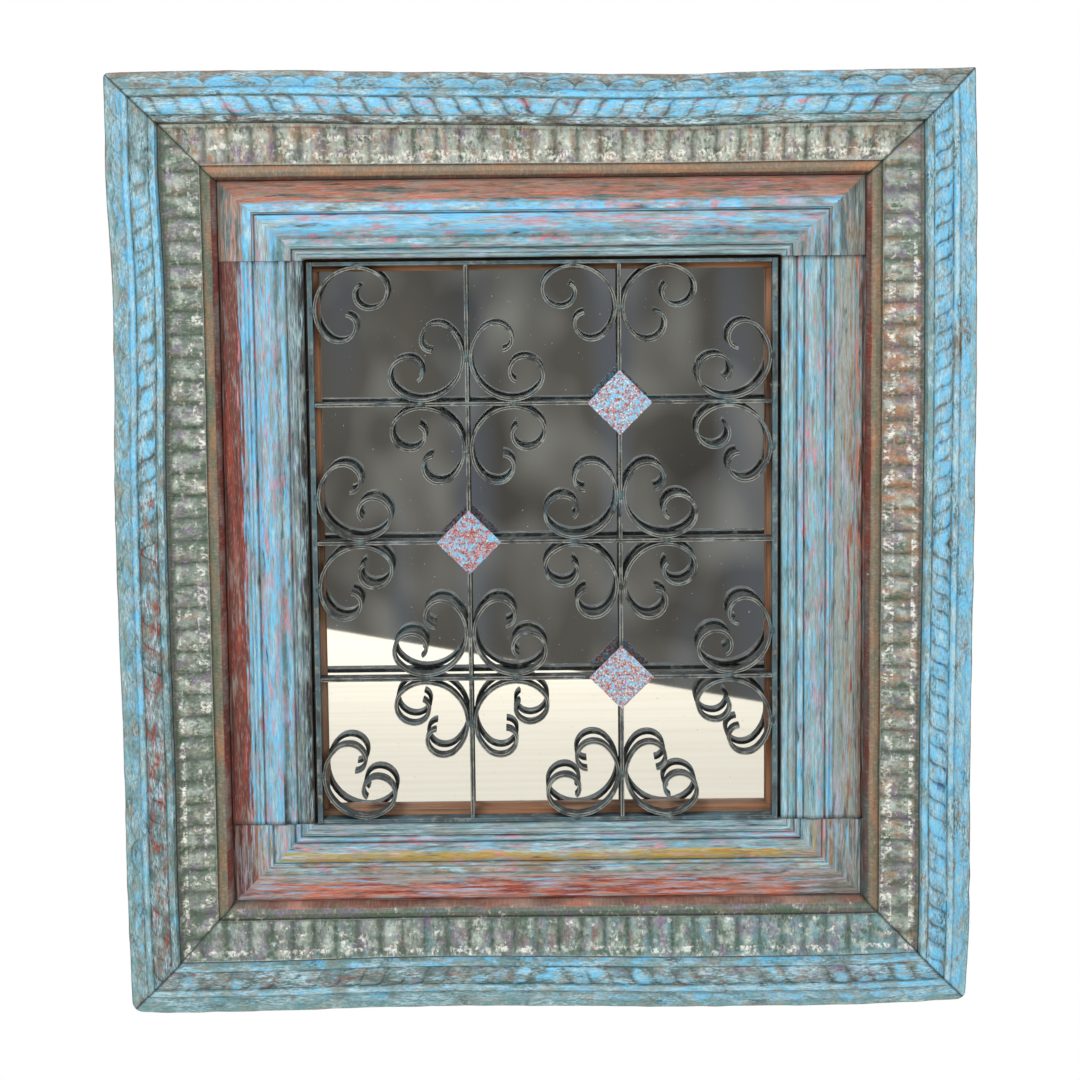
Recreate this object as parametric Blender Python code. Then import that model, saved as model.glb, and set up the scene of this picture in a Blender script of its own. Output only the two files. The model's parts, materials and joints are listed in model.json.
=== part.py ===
"""Wall mirror in an old carved window frame, with a wrought-iron grille in front of the glass.

The front faces -Y and the back lies on the wall, the plane y = 0. The origin is the middle of
the back. A height is a distance in front of the wall, so a point at height h lies at y = -h.
"""

import math

import bmesh
import bpy
from mathutils import Matrix, Vector

# Overall size
frame_width = 1.000
frame_height = 1.106
frame_depth = 0.108

# Gap between two pieces that touch, and how far a cutter runs past what it cuts
clearance = 0.0003
overrun = 0.002

# Edges that turn more than this many degrees stay sharp on a smooth piece
smooth_angle = 40

# Mouldings around the window frame
outer_moulding_width = 0.060
fluted_moulding_width = 0.060
fluted_moulding_top = 0.096
moulding_overhang = 0.014

# Window frame
opening_width = 0.563
opening_height = 0.680
window_face = 0.064
window_relief = 0.010
shoulder_drop = 0.0015
rebate_width = 0.010
mirror_play = 0.0005
tenon_width = 0.090
tenon_thickness = 0.016
tenon_length = 0.060
tenon_height = 0.036
tenon_play = 0.0005

# Glass, backing board and the slips between glass and grille
board_thickness = 0.008
board_lap = 0.0305
mirror_thickness = 0.004
slip_depth = 0.018
slip_side_width = 0.015
slip_top_width = 0.016
slip_bottom_width = 0.012

# Grille
bar_depth = 0.024
bar_thickness = 0.0045
grille_side_thickness = 0.006
grille_side_gap = 0.004
grille_top_gap = 0.004
grille_columns = 3
grille_row_shares = (0.247, 0.248, 0.248, 0.257)
scroll_thickness = 0.004
scroll_radius = 0.050
scroll_proud = 0.0006
weld_height = 0.0014
weld_length = 0.009
weld_bite = 0.003
weld_sides = 8
weld_crown_shares = ((1.0, 0.0), (0.9, 0.5), (0.5, 1.0))
diamond_reach = 0.0385
diamond_thickness = 0.0022

# Curls of a scroll, outwards from where it touches a bar: radius as a share of scroll_radius,
# turn in degrees, and number of straight steps
upright_curl_shares = ((0.92, 45, 3), (0.44, 45, 2), (0.40, 90, 4), (0.25, 90, 3))
level_curl_shares = ((0.84, 45, 3), (0.44, 45, 2), (0.44, 90, 4), (0.34, 90, 3), (0.22, 60, 2))
main_arc_steps = 5

# Screws through the backing board, and those through the grille's rim into the reveal
screw_play = 0.0003
screw_sides = 10
board_screw_head = 0.008
board_screw_shank = 0.0035
board_screw_length = 0.024
board_screw_head_depth = 0.003
board_screw_inset = 0.0105
board_screw_row_share = 0.55
grille_screw_head = 0.006
grille_screw_head_height = 0.0018
grille_screw_crown_share = 0.6
grille_screw_shank = 0.003
grille_screw_length = 0.026
grille_screw_offset = 0.018

# Hangers
hanger_rise = 0.250
strap_width = 0.014
strap_thickness = 0.0015
strap_length = 0.040
strap_curl_turn = 280
strap_curl_steps = 12
ring_wire = 0.0035
ring_width = 0.030
ring_drop = 0.028
ring_corner = 0.005
ring_sides = 10
ring_bow_steps = 10
ring_corner_steps = 3
hanger_screw_head = 0.008
hanger_screw_shank = 0.004
hanger_screw_length = 0.030
hanger_screw_share = 0.78

# Carved sections, chosen by eye: share of the width from the outer side inwards, and share of
# the moulding's thickness above its back
outer_section_shares = (
    (0.0, 0.0), (0.0, 0.82), (0.03, 0.90), (0.16, 0.94), (0.31, 0.91), (0.33, 0.87),
    (0.345, 0.96), (0.37, 1.0), (0.44, 1.0), (0.465, 0.95), (0.475, 0.87), (0.50, 0.92),
    (0.54, 0.955), (0.60, 0.975), (0.66, 0.98), (0.72, 0.975), (0.78, 0.955), (0.825, 0.92),
    (0.845, 0.87), (0.86, 0.91), (0.965, 0.91), (1.0, 0.75), (1.0, 0.0),
)
fluted_section_shares = (
    (0.0, 0.0), (0.0, 0.96), (0.02, 1.0), (0.06, 0.98), (0.2, 0.91), (0.4, 0.825),
    (0.6, 0.745), (0.735, 0.69), (0.745, 0.63), (0.79, 0.74), (0.86, 0.81), (0.925, 0.75),
    (0.975, 0.58), (1.0, 0.35), (1.0, 0.0),
)
# The window frame's section: share of the carved width from the opening outwards, and height
# above the flat as a share of window_relief
window_section_shares = (
    (0.0, -0.5), (0.015, -0.3), (0.035, -0.2), (0.07, -0.2), (0.085, -0.32), (0.10, -0.2),
    (0.135, -0.2), (0.15, -0.32), (0.165, -0.25), (0.182, -0.45), (0.20, -0.05), (0.228, 0.1),
    (0.255, -0.05), (0.27, -0.4), (0.285, 0.0), (0.335, 0.35), (0.40, 0.5), (0.467, 0.35),
    (0.518, 0.0), (0.53, -0.25), (0.545, 0.2), (0.57, 0.25), (0.585, 0.05), (0.60, 0.25),
    (0.625, 0.15), (0.635, 0.0), (0.875, -0.05), (0.885, 0.2), (0.915, 0.45), (0.955, 0.4),
    (0.975, 0.1), (1.0, 0.0),
)

# Places that follow from the sizes
half_width = frame_width / 2
half_height = frame_height / 2
opening_half_width = opening_width / 2
opening_half_height = opening_height / 2
window_half_width = half_width - outer_moulding_width - clearance
window_half_height = half_height - outer_moulding_width - clearance
stile_width = window_half_width - opening_half_width
rail_height = window_half_height - opening_half_height
lip_half_width = half_width - outer_moulding_width - fluted_moulding_width
lip_half_height = half_height - outer_moulding_width - fluted_moulding_width
moulding_back = window_face + clearance

window_back = board_thickness + clearance
mirror_back = board_thickness + clearance
mirror_front = mirror_back + mirror_thickness
slip_back = mirror_front + clearance
slip_front = slip_back + slip_depth
grille_back = slip_front + clearance
grille_front = grille_back + bar_depth

grille_half_width = opening_half_width - grille_side_gap
grille_top = opening_half_height - grille_top_gap
grille_bottom = -opening_half_height + clearance
grille_inner_half_width = grille_half_width - grille_side_thickness
grille_inner_top = grille_top - bar_thickness
grille_inner_bottom = grille_bottom + bar_thickness

# Each hanger sits midway between the backing board and the outer side of the window frame
hanger_x = (opening_half_width + board_lap + window_half_width) / 2


def make_material(name, color, roughness, metallic=0.0):
    """Give a plain surface its colour, roughness and metallic value."""
    material = bpy.data.materials.new(name)
    material.use_nodes = True
    shader = material.node_tree.nodes["Principled BSDF"]
    shader.inputs["Base Color"].default_value = (*color, 1.0)
    shader.inputs["Roughness"].default_value = roughness
    shader.inputs["Metallic"].default_value = metallic
    material.diffuse_color = (*color, 1.0)
    return material


def smooth(piece):
    """Shade a round piece smooth and keep its real edges sharp."""
    piece.data.shade_smooth()
    piece.data.set_sharp_from_angle(angle=math.radians(smooth_angle))


def add_object(name, shape, material):
    """Turn a bmesh into a named object with its faces pointing out."""
    bmesh.ops.recalc_face_normals(shape, faces=shape.faces)
    mesh = bpy.data.meshes.new(name)
    shape.to_mesh(mesh)
    shape.free()
    mesh.materials.append(material)
    piece = bpy.data.objects.new(name, mesh)
    bpy.context.collection.objects.link(piece)
    return piece


def use_shape_of(piece, tools, operation):
    """Cut closed tools from a piece, or join them to it, and remove the tools."""
    for tool in tools:
        modifier = piece.modifiers.new(tool.name, "BOOLEAN")
        modifier.operation = operation
        modifier.solver = "EXACT"
        modifier.object = tool
    graph = bpy.context.evaluated_depsgraph_get()
    result = bpy.data.meshes.new_from_object(piece.evaluated_get(graph))
    piece.modifiers.clear()
    piece.data = result
    for tool in tools:
        bpy.data.objects.remove(tool)


def add_skin(shape, rings, closed=False):
    """Join rings of points into a skin, with a flat cap at each end unless it closes."""
    made = [[shape.verts.new(point) for point in ring] for ring in rings]
    following = made[1:] + made[:1] if closed else made[1:]
    for ring, next_ring in zip(made, following):
        for index in range(len(ring)):
            after = (index + 1) % len(ring)
            shape.faces.new((ring[index], ring[after], next_ring[after], next_ring[index]))
    if not closed:
        shape.faces.new(made[0])
        shape.faces.new(list(reversed(made[-1])))


def add_box(shape, low, high):
    """Add a box between two corners given as x, height and z."""
    corners = ((low[0], low[2]), (high[0], low[2]), (high[0], high[2]), (low[0], high[2]))
    add_skin(shape, [[(x, -height, z) for x, z in corners] for height in (low[1], high[1])])


def box_object(name, low, high, material):
    """Make one box-shaped piece."""
    shape = bmesh.new()
    add_box(shape, low, high)
    return add_object(name, shape, material)


def add_turned(shape, outline, start, direction, sides):
    """Turn an outline of (radius, distance) pairs about an axis from start along direction."""
    turn = Vector(direction).to_track_quat("Z", "Y").to_matrix().to_4x4()
    place = Matrix.Translation(start) @ turn
    rings = []
    for radius, distance in outline:
        angles = [math.tau * index / sides for index in range(sides)]
        points = [Vector((radius * math.cos(a), radius * math.sin(a), distance)) for a in angles]
        rings.append([place @ point for point in points])
    add_skin(shape, rings)


def add_strip(shape, path, thickness, low, high, to_point):
    """Add a flat strip of even thickness along a path, between two places across it."""
    left, right = [], []
    for index, point in enumerate(path):
        before = path[max(index - 1, 0)]
        after = path[min(index + 1, len(path) - 1)]
        along = (Vector(after) - Vector(before)).normalized()
        across = Vector((-along.y, along.x)) * thickness / 2
        left.append(Vector(point) + across)
        right.append(Vector(point) - across)
    rings = []
    for one, other in zip(left, right):
        corners = ((one, low), (other, low), (other, high), (one, high))
        rings.append([to_point(corner.x, corner.y, across) for corner, across in corners])
    add_skin(shape, rings)


def arc_points(start, heading, radius, turn, steps):
    """Follow an arc from a point and a heading, in degrees, and return points and heading."""
    side = 1 if turn > 0 else -1
    base = math.radians(heading + 90 * side)
    centre = Vector(start) + radius * Vector((math.cos(base), math.sin(base)))
    points = []
    for step in range(1, steps + 1):
        angle = math.radians(heading - 90 * side + turn * step / steps)
        points.append(centre + radius * Vector((math.cos(angle), math.sin(angle))))
    return points, heading + turn


def mitred_member(name, shares, width, low, high, half_x, half_z, side, material):
    """Sweep a moulding's section between the mitres of one side of a rectangle."""
    section = [(across * width, low + up * (high - low)) for across, up in shares]
    rings = []
    for end in (-1, 1):
        ring = []
        for inset, height in section:
            along_x = end * (half_x - inset - clearance)
            along_z = end * (half_z - inset - clearance)
            if side in ("top", "bottom"):
                sign = 1 if side == "top" else -1
                ring.append((along_x, -height, sign * (half_z - inset)))
            else:
                sign = 1 if side == "right" else -1
                ring.append((sign * (half_x - inset), -height, along_z))
        rings.append(ring)
    shape = bmesh.new()
    add_skin(shape, rings)
    return add_object(name, shape, material)


def window_section(carved_width, full_width):
    """Section of a window rail or stile: distance from the opening, and height."""
    section = [(0.0, slip_back)]
    for share, lift in window_section_shares:
        section.append((share * carved_width, window_face + lift * window_relief))
    section.append((full_width, window_face))
    section.append((full_width, window_back))
    section.append((rebate_width, window_back))
    section.append((rebate_width, slip_back))
    return section


def window_rail(name, sign, material):
    """Full-width rail, whose ends carry the stiles' moulding down to the shoulders."""
    across = window_section(lip_half_width - opening_half_width, stile_width)
    upward = window_section(lip_half_height - opening_half_height, rail_height)
    shoulder = opening_half_height - shoulder_drop
    rings = []
    for end, at_shoulder in ((-1, True), (-1, False), (1, False), (1, True)):
        ring = []
        for (from_side, height), (from_rail, _) in zip(across, upward):
            z = shoulder if at_shoulder else opening_half_height + from_rail
            ring.append((end * (opening_half_width + from_side), -height, sign * z))
        rings.append(ring)
    shape = bmesh.new()
    add_skin(shape, rings)
    rail = add_object(name, shape, material)
    use_shape_of(rail, [tenon_box(end, sign, tenon_play) for end in (-1, 1)], "DIFFERENCE")
    return rail


def tenon_box(side, sign, play):
    """Block of a tenon, or of its mortise when play is given."""
    middle = side * (opening_half_width + window_half_width) / 2
    shoulder = opening_half_height - shoulder_drop
    reach = tenon_width / 2 + play
    start = sign * (shoulder - overrun)
    finish = sign * (shoulder + tenon_length + play)
    low = (middle - reach, tenon_height - tenon_thickness / 2 - play, min(start, finish))
    high = (middle + reach, tenon_height + tenon_thickness / 2 + play, max(start, finish))
    return box_object("tenon_block", low, high, materials["window"])


def window_stile(name, side, material):
    """Stile between the rails, with a tenon at each end."""
    section = window_section(lip_half_width - opening_half_width, stile_width)
    end_z = opening_half_height - shoulder_drop - clearance
    rings = []
    for z in (-end_z, end_z):
        rings.append([(side * (opening_half_width + reach), -height, z)
                      for reach, height in section])
    shape = bmesh.new()
    add_skin(shape, rings)
    stile = add_object(name, shape, material)
    use_shape_of(stile, [tenon_box(side, sign, 0.0) for sign in (-1, 1)], "UNION")
    return stile


def grille_lines():
    """Centre lines of the crossing bars: x of the upright ones, and z of the level ones."""
    inner_width = 2 * grille_inner_half_width
    inner_height = grille_inner_top - grille_inner_bottom
    column_centres = [-grille_inner_half_width + inner_width * column / grille_columns
                      for column in range(1, grille_columns)]
    row_centres = []
    used = 0.0
    for share in grille_row_shares[:-1]:
        used += share
        row_centres.append(grille_inner_top - used * inner_height)
    return column_centres, row_centres


def cell_spans(centres, first, last, step):
    """Free span of each cell between the faces of the bars beside it."""
    half_bar = step * bar_thickness / 2
    starts = [first] + [centre + half_bar for centre in centres]
    finishes = [centre - half_bar for centre in centres] + [last]
    return list(zip(starts, finishes))


def scroll_path():
    """Centreline of a C scroll, from its upright curl to its level curl, in its own corner.

    The corner where two bar faces meet is the origin, and the scroll touches both faces.
    """
    offset = clearance + scroll_thickness / 2
    touch_upright = Vector((offset, offset + scroll_radius))
    main, _ = arc_points(touch_upright, -90, scroll_radius, 90, main_arc_steps)
    upright, point, heading = [], touch_upright, 90
    for share, turn, steps in upright_curl_shares:
        points, heading = arc_points(point, heading, share * scroll_radius, -turn, steps)
        upright += points
        point = points[-1]
    level, point, heading = [], main[-1], 0
    for share, turn, steps in level_curl_shares:
        points, heading = arc_points(point, heading, share * scroll_radius, turn, steps)
        level += points
        point = points[-1]
    return list(reversed(upright)) + [touch_upright] + main + level


def scroll_corners():
    """Corner, directions and grid place of every scroll, two to a grille cell."""
    column_centres, row_centres = grille_lines()
    columns = cell_spans(column_centres, -grille_inner_half_width, grille_inner_half_width, 1)
    rows = cell_spans(row_centres, grille_inner_top, grille_inner_bottom, -1)
    corners = []
    for column, (left, right) in enumerate(columns):
        for row, (top, bottom) in enumerate(rows):
            for across in (0, 1):
                for down in (0, 1):
                    if (column + across + row + down) % 2 == 0:
                        place = (column + across, row + down)
                        x = right if across else left
                        z = bottom if down else top
                        corners.append((place, x, z, -1 if across else 1, 1 if down else -1))
    return corners


def add_weld(shape, x, z, half_x, half_z):
    """Add a flat oval bead that lies over the front edges of a bar and its scrolls."""
    base = grille_front + clearance
    rings = []
    for spread, rise in weld_crown_shares:
        height = base + rise * weld_height
        angles = [math.tau * (index + 0.5) / weld_sides for index in range(weld_sides)]
        rings.append([(x + spread * half_x * math.cos(angle), -height,
                       z + spread * half_z * math.sin(angle)) for angle in angles])
    add_skin(shape, rings)


def add_scroll_welds(shape, place, x, z, way_x, way_z):
    """Add a scroll's beads: its own on the rim, and one for both where a bar lies between two."""
    column, row = place
    touch = clearance + scroll_thickness / 2 + scroll_radius
    bridge = bar_thickness / 2 + clearance + weld_bite
    half_length = weld_length / 2
    touch_x, touch_z = x + way_x * touch, z + way_z * touch
    if column in (0, grille_columns):
        add_weld(shape, x + way_x * clearance, touch_z, weld_bite, half_length)
    elif way_x == 1:
        add_weld(shape, x - bar_thickness / 2, touch_z, bridge, half_length)
    if row in (0, len(grille_row_shares)):
        add_weld(shape, touch_x, z + way_z * clearance, half_length, weld_bite)
    elif way_z == 1:
        add_weld(shape, touch_x, z - bar_thickness / 2, half_length, bridge)


def scroll_clusters(material):
    """Scrolls welded around each second crossing of the grille, one piece to a crossing."""
    names = {
        (0, 0): "top_left", (2, 0): "top_middle", (1, 1): "upper_left",
        (3, 1): "upper_right", (0, 2): "middle_left", (2, 2): "middle_right",
        (1, 3): "lower_left", (3, 3): "lower_right", (0, 4): "bottom_left",
        (2, 4): "bottom_middle",
    }
    path = scroll_path()
    strips = {place: bmesh.new() for place in names}
    welds = {place: bmesh.new() for place in names}
    for place, x, z, way_x, way_z in scroll_corners():
        points = [Vector((x + way_x * point.x, z + way_z * point.y)) for point in path]
        add_strip(strips[place], points, scroll_thickness, grille_back,
                  grille_front + scroll_proud, lambda across, up, height: (across, -height, up))
        add_scroll_welds(welds[place], place, x, z, way_x, way_z)
    for place, name in names.items():
        cluster = add_object("scrolls_" + name, strips[place], material)
        use_shape_of(cluster, [add_object("welds", welds[place], material)], "UNION")
        smooth(cluster)


def notched_outline(start, finish, notches, notched_edge, floor):
    """Outline of a bar seen on its flat side, with half-lap notches in one edge."""
    plain_edge = grille_back if notched_edge == grille_front else grille_front
    half_notch = bar_thickness / 2 + clearance
    outline = [(start, plain_edge), (start, notched_edge)]
    for centre in sorted(notches):
        outline += [(centre - half_notch, notched_edge), (centre - half_notch, floor),
                    (centre + half_notch, floor), (centre + half_notch, notched_edge)]
    return outline + [(finish, notched_edge), (finish, plain_edge)]


def plate_object(name, face, other_face, material):
    """Make a flat piece between two like outlines."""
    shape = bmesh.new()
    add_skin(shape, [face, other_face])
    return add_object(name, shape, material)


def grille_rim(material):
    """Flat bars around the grille, drilled at the sides for its screws."""
    for name, side in (("grille_rim_left", -1), ("grille_rim_right", 1)):
        edges = sorted((side * grille_inner_half_width, side * grille_half_width))
        rim = box_object(name, (edges[0], grille_back, grille_bottom),
                         (edges[1], grille_front, grille_top), material)
        holes = add_object("holes", grille_screw_holes(), material)
        use_shape_of(rim, [holes], "DIFFERENCE")
    reach = grille_inner_half_width - clearance
    box_object("grille_rim_top", (-reach, grille_back, grille_inner_top),
               (reach, grille_front, grille_top), material)
    box_object("grille_rim_bottom", (-reach, grille_back, grille_bottom),
               (reach, grille_front, grille_inner_bottom), material)


def grille_bars(material):
    """Crossing bars of the grille, halved into each other."""
    reach = grille_inner_half_width - clearance
    column_centres, row_centres = grille_lines()
    middle = (grille_back + grille_front) / 2
    half_bar = bar_thickness / 2
    for name, x in zip(("grille_upright_left", "grille_upright_right"), column_centres):
        outline = notched_outline(grille_inner_bottom + clearance, grille_inner_top - clearance,
                                  row_centres, grille_front, middle - clearance / 2)
        plate_object(name, [(x - half_bar, -height, z) for z, height in outline],
                     [(x + half_bar, -height, z) for z, height in outline], material)
    for name, z in zip(("grille_bar_top", "grille_bar_middle", "grille_bar_bottom"), row_centres):
        outline = notched_outline(-reach, reach, column_centres, grille_back,
                                  middle + clearance / 2)
        plate_object(name, [(x, -height, z - half_bar) for x, height in outline],
                     [(x, -height, z + half_bar) for x, height in outline], material)


def diamonds(material):
    """Diamond plates in front of the crossings between the scrolls."""
    column_centres, row_centres = grille_lines()
    low = grille_front + clearance
    high = low + diamond_thickness
    corners = ((diamond_reach, 0), (0, diamond_reach), (-diamond_reach, 0), (0, -diamond_reach))
    places = (("diamond_upper", 1, 0), ("diamond_middle", 0, 1), ("diamond_lower", 1, 2))
    for name, column, row in places:
        x, z = column_centres[column], row_centres[row]
        plate_object(name, [(x + across, -low, z + up) for across, up in corners],
                     [(x + across, -high, z + up) for across, up in corners], material)


def grille_screw_starts():
    """Name, head place and direction of each screw that holds the grille in the opening."""
    row_centres = grille_lines()[1]
    middle = (grille_back + grille_front) / 2
    head_x = grille_inner_half_width - clearance - grille_screw_head_height
    heights = (("upper", row_centres[0] + grille_screw_offset),
               ("lower", row_centres[-1] - grille_screw_offset))
    starts = []
    for side_name, side in (("left", -1), ("right", 1)):
        for level, z in heights:
            starts.append((f"grille_screw_{side_name}_{level}",
                           Vector((side * head_x, -middle, z)), Vector((side, 0, 0))))
    return starts


def grille_screw_holes():
    """Cutters for the grille's screws, through the rim and into the wood."""
    shape = bmesh.new()
    radius = grille_screw_shank / 2 + screw_play
    outline = ((radius, 0), (radius, grille_screw_length + screw_play))
    for _, start, direction in grille_screw_starts():
        add_turned(shape, outline, start, direction, screw_sides)
    return shape


def grille_screws(material):
    """Round-headed screws through the sides of the rim."""
    under_head = grille_screw_head_height
    outline = ((grille_screw_crown_share * grille_screw_head / 2, 0),
               (grille_screw_head / 2, under_head / 2), (grille_screw_head / 2, under_head),
               (grille_screw_shank / 2, under_head),
               (grille_screw_shank / 2, grille_screw_length))
    for name, start, direction in grille_screw_starts():
        shape = bmesh.new()
        add_turned(shape, outline, start, direction, screw_sides)
        smooth(add_object(name, shape, material))


def screw_outline(head, shank, head_depth, length, grow):
    """Outline of a countersunk screw from its flush head down to its end."""
    start = -overrun if grow else 0.0
    outline = [(head / 2 + grow, start)]
    if grow:
        outline.append((head / 2 + grow, grow))
    outline += [(shank / 2 + grow, head_depth + grow), (shank / 2 + grow, length + grow)]
    return outline


def board_screw_starts():
    """Name and head place of the backing board's screws, flush with the board's back."""
    x_edge = opening_half_width + board_lap - board_screw_inset
    z_edge = opening_half_height + board_lap - board_screw_inset
    starts = [("board_screw_top", Vector((0, 0, z_edge))),
              ("board_screw_bottom", Vector((0, 0, -z_edge)))]
    for side_name, side in (("left", -1), ("right", 1)):
        for level, way in (("upper", 1), ("lower", -1)):
            starts.append((f"board_screw_{side_name}_{level}",
                           Vector((side * x_edge, 0, way * board_screw_row_share * z_edge))))
    return starts


def strap_plate_back():
    """Height of the face of a strap that looks at the wall."""
    return window_back - clearance - strap_thickness


def ring_axis_height():
    """Height of a ring's pivot above the wall."""
    return strap_plate_back() - clearance - ring_wire / 2


def hanger_screw_starts():
    """Name and head place of the hangers' screws, flush with their straps."""
    z = hanger_rise - hanger_screw_share * strap_length
    return [(name, Vector((side * hanger_x, -strap_plate_back(), z)))
            for name, side in (("hanger_screw_left", -1), ("hanger_screw_right", 1))]


def board_screw_shape(starts, grow=0.0):
    """The board's screws, or their holes when they are grown."""
    return screws_shape(starts, board_screw_head, board_screw_shank, board_screw_head_depth,
                        board_screw_length, grow)


def hanger_screw_shape(starts, grow=0.0):
    """The hangers' screws, or their holes when they are grown."""
    return screws_shape(starts, hanger_screw_head, hanger_screw_shank, strap_thickness,
                        hanger_screw_length, grow)


def screws_shape(starts, head, shank, head_depth, length, grow):
    """Countersunk screws that point at the wood, or their holes when they are grown."""
    shape = bmesh.new()
    outline = screw_outline(head, shank, head_depth, length, grow)
    for _, start in starts:
        add_turned(shape, outline, start, (0, -1, 0), screw_sides)
    return shape


def flush_screws(material):
    """Screws of the backing board and of the hangers, each a piece of its own."""
    for start in board_screw_starts():
        smooth(add_object(start[0], board_screw_shape([start]), material))
    for start in hanger_screw_starts():
        smooth(add_object(start[0], hanger_screw_shape([start]), material))


def hanger_strap(name, side, material):
    """Steel strap, rolled at its top around the ring's wire."""
    radius = ring_wire / 2 + clearance + strap_thickness / 2
    axis = ring_axis_height()
    path = [Vector((axis + radius, hanger_rise - strap_length)),
            Vector((axis + radius, hanger_rise))]
    curl, _ = arc_points(path[-1], 90, radius, strap_curl_turn, strap_curl_steps)
    x = side * hanger_x
    shape = bmesh.new()
    add_strip(shape, path + curl, strap_thickness, x - strap_width / 2, x + strap_width / 2,
              lambda height, up, across: (across, -height, up))
    strap = add_object(name, shape, material)
    holes = hanger_screw_shape(hanger_screw_starts(), screw_play)
    use_shape_of(strap, [add_object("holes", holes, material)], "DIFFERENCE")
    smooth(strap)


def ring_path():
    """Centreline of a ring that hangs from its straight bar."""
    half = ring_width / 2
    path = [Vector((ring_corner - half, 0.0)), Vector((half - ring_corner, 0.0))]
    corner, _ = arc_points(path[-1], 0, ring_corner, -90, ring_corner_steps)
    path += corner
    path.append(Vector((half, half - ring_drop)))
    bow, _ = arc_points(path[-1], -90, half, -180, ring_bow_steps)
    path += bow
    path.append(Vector((-half, -ring_corner)))
    last_corner, _ = arc_points(path[-1], 90, ring_corner, -90, ring_corner_steps)
    return path + last_corner[:-1]


def hanger_ring(name, side, material):
    """Wire ring whose origin lies on its pivot."""
    path = ring_path()
    shape = bmesh.new()
    rings = []
    for index, point in enumerate(path):
        before = path[index - 1]
        after = path[(index + 1) % len(path)]
        into = (point - before).normalized()
        out = (after - point).normalized()
        along = (into + out).normalized()
        normal = Vector((-along.y, along.x))
        spread = 1 / max(into.dot(along), 0.5)
        ring = []
        for step in range(ring_sides):
            angle = math.tau * step / ring_sides
            sideways = normal * ring_wire / 2 * math.cos(angle) * spread
            ring.append((point.x + sideways.x, ring_wire / 2 * math.sin(angle),
                         point.y + sideways.y))
        rings.append(ring)
    add_skin(shape, rings, closed=True)
    ring_piece = add_object(name, shape, material)
    smooth(ring_piece)
    ring_piece.location = (side * hanger_x, -ring_axis_height(), hanger_rise)


def mouldings():
    """Carved mouldings: the painted outer one and the fluted one inside it."""
    for side, kind in (("top", "rail"), ("bottom", "rail"), ("left", "stile"),
                       ("right", "stile")):
        mitred_member(f"outer_{kind}_{side}", outer_section_shares,
                      outer_moulding_width - clearance / 2, moulding_back, frame_depth,
                      half_width, half_height, side, materials["outer"])
        inner_x = half_width - outer_moulding_width - clearance / 2
        inner_z = half_height - outer_moulding_width - clearance / 2
        mitred_member(f"fluted_{kind}_{side}", fluted_section_shares,
                      fluted_moulding_width - clearance / 2, moulding_back,
                      fluted_moulding_top, inner_x, inner_z, side, materials["fluted"])


def battens():
    """Plain battens around the window frame, which carry the outer moulding."""
    inner_x = window_half_width + clearance
    inner_z = window_half_height + clearance
    outer_x = half_width - moulding_overhang
    outer_z = half_height - moulding_overhang
    for name, sign in (("batten_top", 1), ("batten_bottom", -1)):
        edges = sorted((sign * inner_z, sign * outer_z))
        box_object(name, (-outer_x, 0.0, edges[0]), (outer_x, window_face, edges[1]),
                   materials["batten"])
    for name, sign in (("batten_left", -1), ("batten_right", 1)):
        edges = sorted((sign * inner_x, sign * outer_x))
        box_object(name, (edges[0], 0.0, -window_half_height),
                   (edges[1], window_face, window_half_height), materials["batten"])


def slips():
    """Bare wooden slips in the opening, between the glass and the grille."""
    reach = opening_half_width - clearance
    top = opening_half_height - clearance
    box_object("mirror_slip_top", (-reach, slip_back, top - slip_top_width),
               (reach, slip_front, top), materials["slip"])
    box_object("mirror_slip_bottom", (-reach, slip_back, -top),
               (reach, slip_front, slip_bottom_width - top), materials["slip"])
    low = slip_bottom_width - top + clearance
    high = top - slip_top_width - clearance
    for name, side in (("mirror_slip_left", -1), ("mirror_slip_right", 1)):
        edges = sorted((side * reach, side * (reach - slip_side_width)))
        box_object(name, (edges[0], slip_back, low), (edges[1], slip_front, high),
                   materials["slip"])


def glass_and_board():
    """Silvered glass in the rebate, and the board that closes the back."""
    reach_x = opening_half_width + rebate_width - mirror_play
    reach_z = opening_half_height + rebate_width - mirror_play
    box_object("mirror_glass", (-reach_x, mirror_back, -reach_z),
               (reach_x, mirror_front, reach_z), materials["mirror"])
    board_x = opening_half_width + board_lap
    board_z = opening_half_height + board_lap
    board = box_object("backing_board", (-board_x, 0.0, -board_z),
                       (board_x, board_thickness, board_z), materials["board"])
    holes = board_screw_shape(board_screw_starts(), screw_play)
    use_shape_of(board, [add_object("holes", holes, materials["board"])], "DIFFERENCE")


def window_frame():
    """Old window frame: stiles tenoned into the rails, and drilled for the screws."""
    members = [window_rail("window_rail_top", 1, materials["window"]),
               window_rail("window_rail_bottom", -1, materials["window"]),
               window_stile("window_stile_left", -1, materials["window"]),
               window_stile("window_stile_right", 1, materials["window"])]
    for member in members:
        shapes = (("board_holes", board_screw_shape(board_screw_starts(), screw_play)),
                  ("grille_holes", grille_screw_holes()),
                  ("hanger_holes", hanger_screw_shape(hanger_screw_starts(), screw_play)))
        holes = [add_object(name, shape, materials["window"]) for name, shape in shapes]
        use_shape_of(member, holes, "DIFFERENCE")


def hangers(material):
    """Two strap hangers with their swinging rings."""
    for name, side in (("left", -1), ("right", 1)):
        hanger_strap("hanger_strap_" + name, side, material)
        hanger_ring("hanger_ring_" + name, side, material)


for old in list(bpy.data.objects):
    bpy.data.objects.remove(old)

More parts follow.
